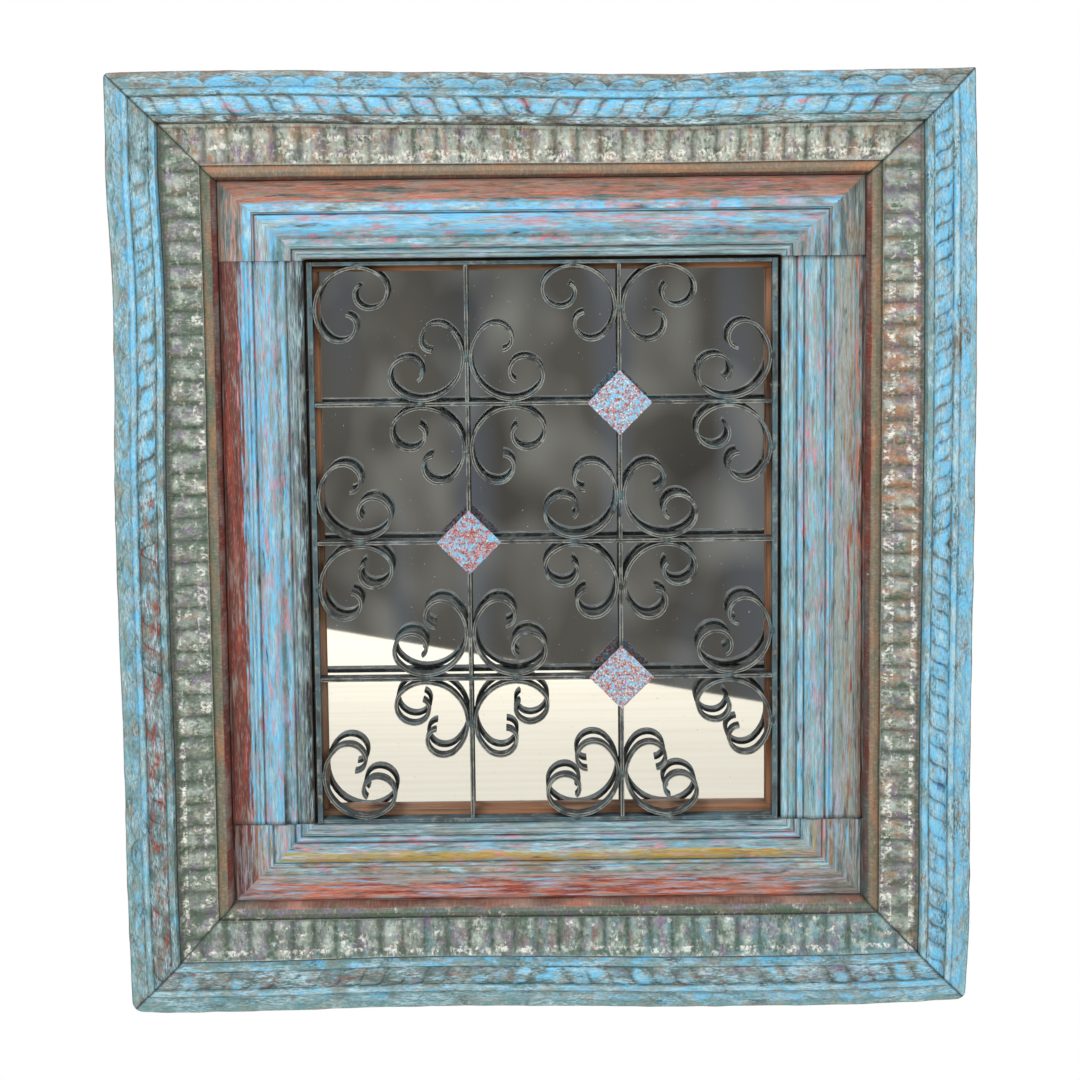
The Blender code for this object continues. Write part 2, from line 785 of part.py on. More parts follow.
materials = {
    "outer": make_material("sky_blue_paint", (0.20, 0.45, 0.55), 0.75),
    "fluted": make_material("grey_green_paint", (0.22, 0.27, 0.22), 0.80),
    "window": make_material("worn_window_paint", (0.25, 0.30, 0.34), 0.75),
    "batten": make_material("dark_batten", (0.12, 0.07, 0.04), 0.80),
    "slip": make_material("bare_slip_wood", (0.36, 0.19, 0.09), 0.70),
    "board": make_material("backing_plywood", (0.42, 0.28, 0.15), 0.85),
    "mirror": make_material("mirror_silver", (0.80, 0.82, 0.82), 0.03, 1.0),
    "iron": make_material("blue_grey_iron", (0.07, 0.09, 0.11), 0.55, 0.6),
    "diamond": make_material("speckled_paint", (0.45, 0.40, 0.48), 0.70),
    "steel": make_material("zinc_steel", (0.50, 0.50, 0.48), 0.40, 1.0),
}

mouldings()
battens()
window_frame()
slips()
glass_and_board()
grille_rim(materials["iron"])
grille_bars(materials["iron"])
scroll_clusters(materials["iron"])
diamonds(materials["diamond"])
grille_screws(materials["steel"])
flush_screws(materials["steel"])
hangers(materials["steel"])
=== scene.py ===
# %% [markdown]
# # A mirror in an old carved window frame
# The real object is a salvaged window: two rails, two stiles and a wrought-iron grille, set in
# wide carved mouldings, with a mirror where the shutters were. Several coats of paint are worn
# through to each other everywhere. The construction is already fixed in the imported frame, so
# this lesson only carves, forges, planes and paints what shows.

# %% The frame and its box
import json
import math

import bpy
import numpy as np
from mathutils import Matrix, Vector

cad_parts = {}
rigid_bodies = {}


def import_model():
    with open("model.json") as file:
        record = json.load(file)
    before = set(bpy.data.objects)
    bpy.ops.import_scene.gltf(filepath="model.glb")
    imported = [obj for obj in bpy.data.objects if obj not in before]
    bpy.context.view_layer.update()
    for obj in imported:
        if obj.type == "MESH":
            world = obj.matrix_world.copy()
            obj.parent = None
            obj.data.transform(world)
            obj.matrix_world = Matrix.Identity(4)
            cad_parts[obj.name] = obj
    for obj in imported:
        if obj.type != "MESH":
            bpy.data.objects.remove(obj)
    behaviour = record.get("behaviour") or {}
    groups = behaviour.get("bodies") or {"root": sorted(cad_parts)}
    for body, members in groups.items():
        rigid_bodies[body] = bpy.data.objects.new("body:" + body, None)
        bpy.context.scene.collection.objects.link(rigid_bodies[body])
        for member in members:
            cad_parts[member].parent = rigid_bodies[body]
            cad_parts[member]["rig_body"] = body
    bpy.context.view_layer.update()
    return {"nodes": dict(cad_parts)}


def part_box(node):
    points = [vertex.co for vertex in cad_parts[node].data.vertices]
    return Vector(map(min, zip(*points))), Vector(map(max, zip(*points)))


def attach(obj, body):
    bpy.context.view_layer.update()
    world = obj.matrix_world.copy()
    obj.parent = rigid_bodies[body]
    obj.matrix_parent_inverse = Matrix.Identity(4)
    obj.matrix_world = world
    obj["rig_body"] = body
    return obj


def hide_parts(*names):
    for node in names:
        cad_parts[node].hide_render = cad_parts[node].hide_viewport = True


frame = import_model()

bpy.context.scene.view_settings.view_transform = "Standard"

# %% [markdown]
# ## Camera, light and room
# The photograph was taken from a little above the middle with a long lens, so the sides of the
# frame lean slightly. The mirror shows what stands behind the camera. A pale floor and a soft
# dark wall there give it the right picture, and the wall shows only in reflections. The wall is
# no lamp but glows with the colours painted on it, a painted reflection for the mirror.

# %% Camera
lens_mm = 95.87
camera_place = Vector((-0.0185, -3.452, 0.4739))
camera_turn = math.radians(-0.213)
camera_tilt = math.radians(-7.884)
camera_roll = math.radians(-0.600)

camera = bpy.data.objects.new("camera", bpy.data.cameras.new("camera"))
camera.data.lens = lens_mm
camera.matrix_world = (Matrix.Translation(camera_place) @ Matrix.Rotation(camera_turn, 4, "Z")
                       @ Matrix.Rotation(camera_tilt + math.radians(90), 4, "X")
                       @ Matrix.Rotation(camera_roll, 4, "Z"))
bpy.context.scene.collection.objects.link(camera)
bpy.context.scene.camera = camera
print("camera distance:", round(camera_place.length, 3))


# %% Soft lights
def area_light(name, place, size, power, target=(0, 0, 0)):
    """A square light that looks at the middle of the mirror, or at another place."""
    light = bpy.data.objects.new(name, bpy.data.lights.new(name, "AREA"))
    light.data.size = size
    light.data.energy = power
    light.location = place
    way = Vector(target) - Vector(place)
    light.rotation_euler = way.to_track_quat("-Z", "Y").to_euler()
    bpy.context.scene.collection.objects.link(light)


area_light("key", (-1.15, -2.3, 2.7), 1.1, 58)
area_light("left", (-1.8, -3.2, 1.2), 0.9, 19)
area_light("right", (1.8, -3.2, 1.2), 0.9, 29)
area_light("back", (0.5, 3.0, 1.8), 2.5, 45)
area_light("room", (0.0, -8.5, 2.0), 5.0, 330, target=(0, -8.5, -2))

world = bpy.data.worlds.new("studio")
bpy.context.scene.world = world
world.use_nodes = True
sky = world.node_tree.nodes
light_path = sky.new("ShaderNodeLightPath")
studio_grey = sky.new("ShaderNodeBackground")
studio_white = sky.new("ShaderNodeBackground")
pick = sky.new("ShaderNodeMixShader")
studio_grey.inputs["Color"].default_value = (0.30, 0.31, 0.32, 1)
studio_white.inputs["Color"].default_value = (1, 1, 1, 1)
world.node_tree.links.new(light_path.outputs["Is Camera Ray"], pick.inputs["Fac"])
world.node_tree.links.new(studio_grey.outputs["Background"], pick.inputs[1])
world.node_tree.links.new(studio_white.outputs["Background"], pick.inputs[2])
world.node_tree.links.new(pick.outputs["Shader"], sky["World Output"].inputs["Surface"])
print("lights:", len(bpy.data.lights))

# %% [markdown]
# ## Paint in coats
# Old paint is never one colour. Each coat covers part of the one below, in patches that follow
# the grain, and each has its own edge. So a finish starts from the bare surface and adds coats.
# A coat has an amount between 0, none, and 1, all over, which may change along and across a
# moulding. The patches are noise stretched along the grain.

# %% Paints
def paint_colour(red, green, blue):
    """Colour of a paint chip, from its values on a screen to what a shader mixes."""
    chip = [value / 255 for value in (red, green, blue)]
    return tuple(c / 12.92 if c < 0.04 else ((c + 0.055) / 1.055) ** 2.4 for c in chip) + (1.0,)


paints = {
    "sky": paint_colour(116, 200, 242), "pale_sky": paint_colour(178, 216, 230),
    "deep_blue": paint_colour(70, 128, 176), "teal": paint_colour(112, 158, 166),
    "dull_teal": paint_colour(88, 114, 116), "weathered": paint_colour(152, 162, 156),
    "brick": paint_colour(150, 62, 44), "salmon": paint_colour(202, 122, 98),
    "dark_red": paint_colour(108, 56, 48), "pink": paint_colour(210, 142, 156),
    "lilac": paint_colour(176, 178, 202), "violet": paint_colour(126, 108, 138),
    "mist": paint_colour(134, 190, 206), "dusty_pink": paint_colour(184, 148, 134),
    "gold": paint_colour(190, 162, 80), "grey_green": paint_colour(154, 166, 158),
    "light_green": paint_colour(186, 198, 188), "dark_green": paint_colour(84, 106, 88),
    "drab": paint_colour(126, 118, 102),
    "orange": paint_colour(180, 122, 82), "tan": paint_colour(150, 122, 96),
    "grey_wood": paint_colour(122, 114, 104), "dark_wood": paint_colour(80, 66, 56),
    "slip_wood": paint_colour(170, 104, 62), "grime": paint_colour(42, 41, 39),
    "chalk": paint_colour(240, 240, 232), "iron": paint_colour(60, 68, 72),
    "bare_iron": paint_colour(168, 168, 160), "blue_iron": paint_colour(80, 112, 124),
}
print("paints:", len(paints))

# %% A finish that is built up in coats
noise_top, noise_reach = 0.8, 0.6
mottle_gain, mottle_low, mottle_high = 7.0, 3.4, 3.7


class Finish:
    """A material whose colour and surface are built up in coats."""

    def __init__(self, name, bare, roughness, metallic=0.0, place="Object"):
        self.material = bpy.data.materials.new(name)
        self.material.use_nodes = True
        self.tree = self.material.node_tree
        self.shader = self.tree.nodes["Principled BSDF"]
        self.shader.inputs["Roughness"].default_value = roughness
        self.shader.inputs["Metallic"].default_value = metallic
        self.place = self.add("TexCoord").outputs[place]
        self.colour = paints[bare]
        self.raised = 0.0

    def add(self, kind, inputs=None, **settings):
        """Add a node, with its settings and with values or links for its inputs."""
        node = self.tree.nodes.new("ShaderNode" + kind)
        for name, value in settings.items():
            setattr(node, name, value)
        for socket, value in (inputs or {}).items():
            if isinstance(value, bpy.types.NodeSocket):
                self.tree.links.new(value, node.inputs[socket])
            else:
                node.inputs[socket].default_value = value
        return node

    def maths(self, operation, first, second=0.0, third=0.0, clamp=False):
        node = self.add("Math", {0: first, 1: second, 2: third}, operation=operation,
                        use_clamp=clamp)
        return node.outputs[0]

    def noise(self, size, seed, detail=5.0, roughness=0.62):
        """Noise from about 0.2 to 0.8, with patches of a size in metres along each axis."""
        scale = [1 / step for step in size]
        moved = self.add("Mapping", {"Vector": self.place, "Scale": scale,
                                     "Location": (1.7 * seed, 2.3 * seed, 3.1 * seed)})
        return self.add("TexNoise", {"Vector": moved.outputs[0], "Scale": 1.0,
                                     "Detail": detail, "Roughness": roughness}).outputs[0]

    def stops(self, value, low, high, stops):
        """Read an amount from a list of (place, amount) pairs between low and high."""
        share = self.maths("MULTIPLY_ADD", value, 1 / (high - low), -low / (high - low))
        node = self.add("ValToRGB", {0: share})
        points = node.color_ramp.elements
        for _ in stops[2:]:
            points.new(0.5)
        for point, (where, amount) in zip(points, stops):
            point.position = (where - low) / (high - low)
        for point, (where, amount) in zip(points, stops):
            point.color = (amount, amount, amount, 1)
        return node.outputs[0]

    def cover(self, amount, size, seed, gain=7.0, detail=5.0):
        """Mask of patches that cover an amount of the surface."""
        spread = self.maths("MULTIPLY_ADD", self.noise(size, seed, detail), gain,
                            0.5 - noise_top * gain)
        if isinstance(amount, bpy.types.NodeSocket):
            return self.maths("MULTIPLY_ADD", amount, noise_reach * gain, spread, clamp=True)
        return self.maths("ADD", spread, noise_reach * gain * amount, clamp=True)

    def mix(self, mask, colour):
        """Lay a colour over what is there where the mask is 1."""
        node = self.add("Mix", {0: mask, 6: self.colour, 7: colour}, data_type="RGBA")
        self.colour = node.outputs[2]

    def coat(self, colour, amount, size, seed, gain=7.0, detail=5.0, thickness=0.0):
        """Lay a coat of paint in patches, with a thickness in millimetres."""
        mask = self.cover(amount, size, seed, gain, detail)
        self.mix(mask, paints[colour])
        self.lift(mask, thickness)

    def mottle(self, size, seed, dark, light):
        """Shade the colour down and up in fine grains, as dirt and chalking do."""
        grains = self.noise(size, seed, roughness=0.75)
        low = self.maths("MULTIPLY_ADD", grains, -mottle_gain, mottle_low, clamp=True)
        high = self.maths("MULTIPLY_ADD", grains, mottle_gain, -mottle_high, clamp=True)
        self.mix(self.maths("MULTIPLY", low, dark), paints["grime"])
        self.mix(self.maths("MULTIPLY", high, light), paints["chalk"])

    def lift(self, mask, millimetres):
        """Raise the surface by some millimetres where the mask is 1."""
        if millimetres:
            self.raised = self.maths("MULTIPLY_ADD", mask, millimetres, self.raised)

    def done(self):
        """Connect the colour and the relief to the shader."""
        self.tree.links.new(self.colour, self.shader.inputs["Base Color"])
        if isinstance(self.raised, bpy.types.NodeSocket):
            bump = self.add("Bump", {"Height": self.raised, "Distance": 0.001,
                                     "Strength": 1.0})
            self.tree.links.new(bump.outputs[0], self.shader.inputs["Normal"])
        return self.material


# %% Floor and wall of the room
floor_level = -1.30
floor_near, floor_far, floor_side = -16.0, 1.2, 8.0
wall_middle, wall_turn = Vector((0.0, -6.28, 0.0)), math.radians(45)
wall_length, wall_height = 18.0, 7.0
wall_grey, wall_glow = paint_colour(92, 89, 83), 1.1
plank_width, seam_width, seam_dark = 0.14, 0.0032, 0.12
scrubbed, scrubbed_share = paint_colour(243, 232, 212), 0.72


def stage_plane(name, material, place):
    """A unit plane, put in its place in the room, that is no part of the object."""
    bpy.ops.object.select_all(action="DESELECT")
    bpy.ops.mesh.primitive_plane_add(size=1)
    plane = bpy.context.object
    plane.name = name
    plane.data.transform(place)
    plane.data.materials.append(material)
    return plane


def floor_finish():
    """Pale boards that run across the view."""
    boards = Finish("pale_floor", "chalk", 0.6)
    boards.coat("tan", 0.30, (1.6, 0.05, 1), 3, gain=2.0)
    boards.mix(scrubbed_share, scrubbed)
    across = boards.add("SeparateXYZ", {0: boards.place}).outputs["Y"]
    row = boards.maths("PINGPONG", across, plank_width / 2)
    seam = boards.maths("LESS_THAN", row, seam_width / 2)
    boards.mix(boards.maths("MULTIPLY", seam, seam_dark), paints["tan"])
    return boards.done()


def glowing_wall():
    """A wall that glows though it is no lamp: dark grey with darker patches, upright blue-grey
    shapes and pale blurs, a painted reflection for the mirror.
    """
    wall = Finish("glowing_wall_reflection", "grime", 1.0)
    wall.colour = wall_grey
    wall.mix(wall.cover(0.42, (0.40, 0.40, 0.7), 4, gain=1.6, detail=0.0),
             paint_colour(62, 60, 57))
    wall.mix(wall.cover(0.22, (0.26, 0.26, 1.6), 9, gain=3.0, detail=0.0),
             paint_colour(92, 98, 108))
    wall.mix(wall.cover(0.22, (0.34, 0.34, 0.34), 21, gain=2.2, detail=1.0),
             paint_colour(140, 139, 135))
    # Painted reflection: the wall glows by its own painted colour instead of being lit.
    glow = wall.add("Emission", {"Color": wall.colour, "Strength": wall_glow})
    wall.tree.links.new(glow.outputs[0],
                        wall.tree.nodes["Material Output"].inputs["Surface"])
    return wall.material


floor_place = Vector((0, (floor_near + floor_far) / 2, floor_level))
stage_plane("floor", floor_finish(), Matrix.Translation(floor_place)
            @ Matrix.Diagonal((2 * floor_side, floor_far - floor_near, 1, 1)))
wall_middle.z = floor_level + wall_height / 2
wall = stage_plane("wall", glowing_wall(), Matrix.Translation(wall_middle)
                   @ Matrix.Rotation(wall_turn, 4, "Z")
                   @ Matrix.Rotation(math.radians(90), 4, "X")
                   @ Matrix.Diagonal((wall_length, wall_height, 1, 1)))
wall.visible_camera = False
wall.visible_shadow = False
wall.visible_diffuse = False
print("floor level:", floor_level, "wall behind the camera:", tuple(wall_middle))

# %% [markdown]
# ## Carving a moulding
# A carver planes the section of a moulding first and then cuts the pattern along it. Here a
# flat grid takes both at once: a formula gives each point its height in front of the wall. The
# rows follow the section's own corners, so that every step in it stays crisp. Then the border
# of the grid is extruded back to the plane where the moulding rests, and the back is filled.
# Sweeping a curve would give the section too, but not the carving, and displacing by a texture
# would blur the steps.

# %% Helpers for editing one piece
def start_alone():
    """Leave edit mode and deselect everything, so that an operator acts on one piece."""
    if bpy.context.object and bpy.context.object.mode == "EDIT":
        bpy.ops.object.mode_set(mode="OBJECT")
    bpy.ops.object.select_all(action="DESELECT")


def edit_only(piece, kind="VERT"):
    """Enter edit mode on one piece, with nothing selected in it."""
    start_alone()
    piece.select_set(True)
    bpy.context.view_layer.objects.active = piece
    bpy.ops.object.mode_set(mode="EDIT")
    bpy.ops.mesh.select_mode(type=kind)
    bpy.ops.mesh.select_all(action="DESELECT")


def places_of(mesh):
    """All points of a mesh as rows of x, y and z."""
    flat = np.empty(len(mesh.vertices) * 3)
    mesh.vertices.foreach_get("co", flat)
    return flat.reshape(-1, 3)


def move_to(piece, points):
    """Put a piece's points where the rows of x, y and z say."""
    piece.data.vertices.foreach_set("co", points.ravel())
    piece.data.update()


def fill_and_leave():
    """Fill the selected border, turn all faces outwards and leave edit mode."""
    bpy.ops.mesh.edge_face_add()
    bpy.ops.mesh.select_all(action="SELECT")
    bpy.ops.mesh.normals_make_consistent(inside=False)
    start_alone()


# %% Noise, grooves and rows for carving
hill_columns, hill_rows = 97, 89
mitre_shade = 0.0018


def soft_noise(x, y, seed):
    """Smooth noise from -1 to 1 with one hill or hollow to a unit."""
    hills = np.random.default_rng(seed).uniform(-1, 1, (hill_columns, hill_rows))
    cell_x, cell_y = np.floor(x).astype(int), np.floor(y).astype(int)
    share_x, share_y = x - cell_x, y - cell_y
    share_x = share_x ** 2 * (3 - 2 * share_x)
    share_y = share_y ** 2 * (3 - 2 * share_y)

    def row(up):
        here = hills[cell_x % hill_columns, (cell_y + up) % hill_rows]
        there = hills[(cell_x + 1) % hill_columns, (cell_y + up) % hill_rows]
        return here + (there - here) * share_x

    return row(0) + (row(1) - row(0)) * share_y


def wander(along, wave, seed):
    """Smooth noise along a member alone, with one hill or hollow to a wave."""
    return soft_noise(along / wave, 0 * along, seed)


def groove(away, width):
    """1 in the middle of a gouged line, and less and less beside it."""
    return np.exp(-(away / width) ** 2)


def mitre_dirt(share, length):
    """Extra dark near the mitre at either end of a member, as if it were a cut."""
    return mitre_shade * groove((1 - np.abs(share)) * length, mitre_shade)


def rows_between(stops, spacing):
    """Places from the first stop to the last, on every stop and no wider apart than spacing."""
    rows = [stops[0]]
    for low, high in zip(stops, stops[1:]):
        count = max(1, math.ceil((high - low) / spacing - 1e-6))
        rows += [low + (high - low) * step / count for step in range(1, count + 1)]
    return np.array(rows)


# %% A grid that a formula carves
def carved_grid(name, columns, rows, carve):
    """Lay a grid and let carve(column, row) give its x, height and z, and how cut it is."""
    start_alone()
    bpy.ops.mesh.primitive_grid_add(x_subdivisions=len(columns) - 1,
                                    y_subdivisions=len(rows) - 1, size=2)
    piece = bpy.context.object
    piece.name = piece.data.name = name
    points = places_of(piece.data)
    column = columns[np.rint((points[:, 0] + 1) / 2 * (len(columns) - 1)).astype(int)]
    row = rows[np.rint((points[:, 1] + 1) / 2 * (len(rows) - 1)).astype(int)]
    x, height, z, *shades = carve(column, row)
    move_to(piece, np.stack((x, -height, z), axis=1))
    for shade, values in zip(("relief", "crest"), shades):
        layer = piece.data.attributes.new(shade, "FLOAT", "POINT")
        layer.data.foreach_set("value", values.astype(np.float32))
    return piece


def extrude_border(piece, height):
    """Extrude the open border of a piece straight back to a height in front of the wall."""
    edit_only(piece, "EDGE")
    bpy.ops.mesh.select_non_manifold(extend=False, use_wire=False, use_boundary=True,
                                     use_multi_face=False, use_non_contiguous=False,
                                     use_verts=False)
    bpy.ops.mesh.extrude_region_move()
    bpy.ops.transform.resize(value=(1, 0, 1), center_override=(0, -height, 0))


def close_back(piece, height):
    """Give a carved grid its sides and its back."""
    extrude_border(piece, height)
    fill_and_leave()


# %% A map for the paint, and the handing over to the frame
def unroll(piece, along_and_across):
    """Write a UV map in metres: along the piece, and across it from its outer side."""
    mesh = piece.data
    points = places_of(mesh)
    corner = np.empty(len(mesh.loops), dtype=np.int64)
    mesh.loops.foreach_get("vertex_index", corner)
    middles = np.empty(len(mesh.polygons) * 3)
    mesh.polygons.foreach_get("center", middles)
    sizes = np.empty(len(mesh.polygons), dtype=np.int64)
    mesh.polygons.foreach_get("loop_total", sizes)
    middle = np.repeat(middles.reshape(-1, 3), sizes, axis=0)
    along, across = along_and_across(points[corner], middle)
    layer = mesh.uv_layers.active or mesh.uv_layers.new(name="UVMap")
    layer.data.foreach_set("uv", np.stack((along, across), axis=1).astype(np.float32).ravel())


def settle(piece, node, material, angle=40):
    """Shade a finished piece, paint it, and let it stand for its node and ride with it."""
    start_alone()
    piece.select_set(True)
    bpy.context.view_layer.objects.active = piece
    bpy.ops.object.shade_smooth_by_angle(angle=math.radians(angle))
    piece.data.materials.clear()
    piece.data.materials.append(material)
    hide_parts(node)
    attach(piece, frame["nodes"][node]["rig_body"])
    start_alone()
    print(piece.name, "faces:", len(piece.data.polygons))


# %% Places of the members, read from the frame
sides = ("top", "bottom", "left", "right")


def member_node(kind, side):
    """Name of a member's node: the rails lie level and the stiles stand."""
    return f"{kind}_rail_{side}" if side in ("top", "bottom") else f"{kind}_stile_{side}"


def member_sizes(kind):
    """Half width, half height, member width, back and front of a set of four members."""
    low_side, high_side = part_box(f"{kind}_stile_right")
    high_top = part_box(f"{kind}_rail_top")[1]
    return high_side.x, high_top.z, high_side.x - low_side.x, -high_side.y, -low_side.y


def on_side(side, along, inset, half_x, half_z):
    """Turn a place along and across one side of the frame into x and z."""
    if side == "top":
        return along, half_z - inset
    if side == "bottom":
        return along, inset - half_z
    if side == "left":
        return inset - half_x, along
    return half_x - inset, along


def across_side(side, points, half_x, half_z):
    """Turn x and z back into a place along and across one side."""
    x, z = points[:, 0], points[:, 2]
    if side in ("top", "bottom"):
        return x, half_z - (z if side == "top" else -z)
    return z, half_x - (x if side == "right" else -x)


for kind in ("outer", "fluted", "window"):
    print(kind, "sizes:", [round(size, 4) for size in member_sizes(kind)])

# %% [markdown]
# ## Sides that are not straight
# The real mouldings were planed by hand and have moved with the years: each side swells and
# sinks by a few millimetres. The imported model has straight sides, so the carved pieces are
# pushed out or in a little after they are made. The push is full in the outer moulding and
# dies away across the fluted one, and both sides of a mitre get the same push, so it stays shut.

# %% How far each side swells, in millimetres at places along it
side_reach = (-0.56, 0.56)
swell_places, swell_blend = 113, 7
swell = {
    "top": ((-0.50, 4.5), (-0.46, 6.0), (-0.30, 6.5), (-0.20, 3.4), (-0.10, 2.0), (0.0, 0.2),
            (0.07, -2.0), (0.15, -3.2), (0.22, -1.8), (0.27, 0.0), (0.44, 0.2), (0.50, 1.5)),
    "bottom": ((-0.50, 4.0), (-0.46, 7.4), (-0.32, 6.0), (-0.22, 3.4), (-0.12, 2.2),
               (0.0, 3.8), (0.15, 6.8), (0.35, 6.8), (0.45, 3.6), (0.50, 0.4)),
    "left": ((-0.55, 2.0), (-0.42, 4.6), (-0.26, 3.6), (-0.12, 5.0), (0.0, 5.4), (0.12, 4.4),
             (0.20, 1.4), (0.31, 0.3), (0.36, 1.4), (0.43, 4.4), (0.50, 3.6), (0.55, 3.4)),
    "right": ((-0.55, 0.0), (-0.51, 3.2), (-0.42, 4.8), (-0.30, 3.6), (-0.15, 4.6), (0.0, 5.8),
              (0.20, 6.6), (0.42, 5.2), (0.50, 4.0), (0.55, 1.0)),
}


def swelling(side, along):
    """How far a side stands out at places along it, in metres."""
    stops = swell[side]
    places = np.linspace(*side_reach, swell_places)
    level = np.interp(places, *zip(*stops))
    padded = np.pad(level, swell_blend // 2, mode="edge")
    soft = np.convolve(padded, np.ones(swell_blend) / swell_blend, mode="valid")
    return np.interp(along, places, soft) / 1000


def push_out(piece, full, none):
    """Push a piece's points out by the swelling of the sides they belong to."""
    points = places_of(piece.data)
    x, z = points[:, 0].copy(), points[:, 2].copy()
    weight_x = np.clip((np.abs(x) - none[0]) / (full[0] - none[0]), 0, 1)
    weight_z = np.clip((np.abs(z) - none[1]) / (full[1] - none[1]), 0, 1)
    out_x = np.where(x > 0, swelling("right", z), swelling("left", z))
    out_z = np.where(z > 0, swelling("top", x), swelling("bottom", x))
    points[:, 0] += np.sign(x) * weight_x * out_x
    points[:, 2] += np.sign(z) * weight_z * out_z
    move_to(piece, points)


joint_x, joint_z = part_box("fluted_stile_right")[1].x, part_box("fluted_rail_top")[1].z
lip_x, lip_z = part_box("fluted_stile_right")[0].x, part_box("fluted_rail_top")[0].z
print("swelling at the middles:", [round(float(swelling(side, 0.0)), 4) for side in sides])

# %% [markdown]
# ## The outer moulding
# From its outer side inwards it has a band of scallops, a plain ridge, a rope and a fillet. The
# scallops are arches cut with a gouge. The rope is a round band cut across by slanting S curves,
# which turn over at the middle of each side. All of it was cut by hand, so the pitch wanders
# and some cuts are nearly worn away.

# %% Section of the outer moulding, as shares of its width and height
outer_section = (
    (0.0, 0.82), (0.03, 0.90), (0.16, 0.94), (0.31, 0.92), (0.33, 0.895), (0.345, 0.965),
    (0.37, 1.0), (0.44, 1.0), (0.465, 0.96), (0.475, 0.895), (0.50, 0.925), (0.54, 0.955),
    (0.60, 0.975), (0.66, 0.98), (0.72, 0.975), (0.78, 0.955), (0.825, 0.92), (0.845, 0.87),
    (0.86, 0.91), (0.965, 0.91), (1.0, 0.75),
)
outer_columns, outer_row = 640, 0.0011
ridge_start, rope_start, rope_end = 0.0195, 0.0285, 0.0500
corner_radius = {"top": (0.006, 0.0015), "bottom": (0.013, 0.011),
                 "left": (0.013, 0.006), "right": (0.011, 0.0015)}
mitre_gap = 0.0004
member_seed = {"top": 11, "bottom": 23, "left": 37, "right": 51}
print("steps of the outer section:", len(outer_section))

# %% Scallops, each an arch with a second line outside it
scallop_pitch, scallop_foot, scallop_rise = 0.0385, 0.0175, 0.0105
scallop_depth, scallop_line = 0.0020, 0.0010
second_depth, second_line, second_place = 0.0007, 0.0007, 0.0028
dish_depth, dish_slope = 0.0009, 0.005
scallop_wander = 0.0030


def soft_step(distance, blur):
    """1 where a distance is below 0 and 0 where it is above, with a soft change between."""
    return 1 / (1 + np.exp(np.clip(distance / blur, -30, 30)))


def scallops(along, inset, seed):
    """Cut of the arches, in metres below the surface, and 1 inside an arch."""
    place = (along + scallop_wander * wander(along, 0.09, seed)) / scallop_pitch
    beside = 2 * (place - np.floor(place) - 0.5)
    rise = (scallop_foot - inset) / scallop_rise
    ring = np.sqrt(beside ** 2 + rise ** 2) + 1e-9
    slope = np.sqrt((beside * 2 / scallop_pitch) ** 2 + (rise / scallop_rise) ** 2) / ring
    away = (ring - 1) / np.maximum(slope, 1e-6)
    worn = 0.78 + 0.35 * soft_noise(along / 0.06, inset / 0.05, seed + 1)
    line = scallop_depth * groove(away, scallop_line)
    second = second_depth * groove(away - second_place, second_line)
    dish = dish_depth * np.clip(-away / dish_slope, 0, 1)
    band = soft_step(inset - scallop_foot - 0.0008, 0.0003)
    return (line + second + dish) * worn * band, soft_step(away, 0.0004)


# %% Rope, whose S curves turn over at the middle of a side
rope_slant, rope_bend, rope_wander = 0.0155, 0.6, 0.0042
rope_depth, rope_cut, rope_hollow, rope_fade = 0.0021, 0.0013, 0.0012, 0.07
leaf_depth, leaf_line, leaf_place = 0.0012, 0.0008, 0.0042
rope_pitch = {"top": 0.0262, "bottom": 0.0262, "left": 0.0265, "right": 0.0212}
rope_way = {"top": -1, "bottom": -1, "left": 1, "right": -1}


def rope(along, inset, side, seed):
    """Cut of the rope's S curves, in metres below the surface, and 1 between the cuts."""
    across = np.clip((inset - rope_start) / (rope_end - rope_start), 0, 1)
    drift = rope_wander * wander(along, 0.11, seed)
    bent = across + rope_bend * np.sin(math.tau * across) / math.tau
    place = (np.abs(along) + drift - rope_way[side] * rope_slant * bent) / rope_pitch[side]
    beside = place - np.rint(place)
    steep = rope_slant * (1 + rope_bend * np.cos(math.tau * across)) / (rope_end - rope_start)
    away = beside * rope_pitch[side] / np.sqrt(1 + steep ** 2)
    hollow = rope_hollow * (1 - 2 * np.abs(beside)) ** 3
    cut = rope_depth * groove(away, rope_cut)
    leaf = leaf_depth * groove(away + leaf_place, leaf_line) * np.sin(math.pi * across)
    band = np.clip(np.minimum(across, 1 - across) / rope_fade, 0, 1)
    worn = 0.75 + 0.35 * soft_noise(along / 0.05, inset / 0.04, seed + 2)
    lobe = np.clip(4.0 * np.abs(beside) * (0.2 + 0.8 * np.sin(math.pi * across)), 0, 1)
    return (cut + leaf + hollow) * band * worn, lobe


# %% One side of the outer moulding
edge_chip = 0.0005
edge_turns = 8
cut_share = {"top": (0.9, 1.0), "bottom": (0.55, 0.75), "left": (0.75, 1.0),
             "right": (0.50, 1.0)}
arch_dirt_and_shade, rope_dirt_and_shade = 0.75, 0.36
hair = 0.0001


def edge_wave(along, seed):
    """How far the outer edge of a hand-planed moulding is chipped."""
    return edge_chip + edge_chip * wander(along, 0.02, seed)


def rounded_corner(beyond, radius):
    """How far a rounded corner draws the edge in, at a distance from the sharp corner."""
    near = np.clip(radius - beyond, 0, radius)
    return radius - np.sqrt(radius ** 2 - near ** 2)


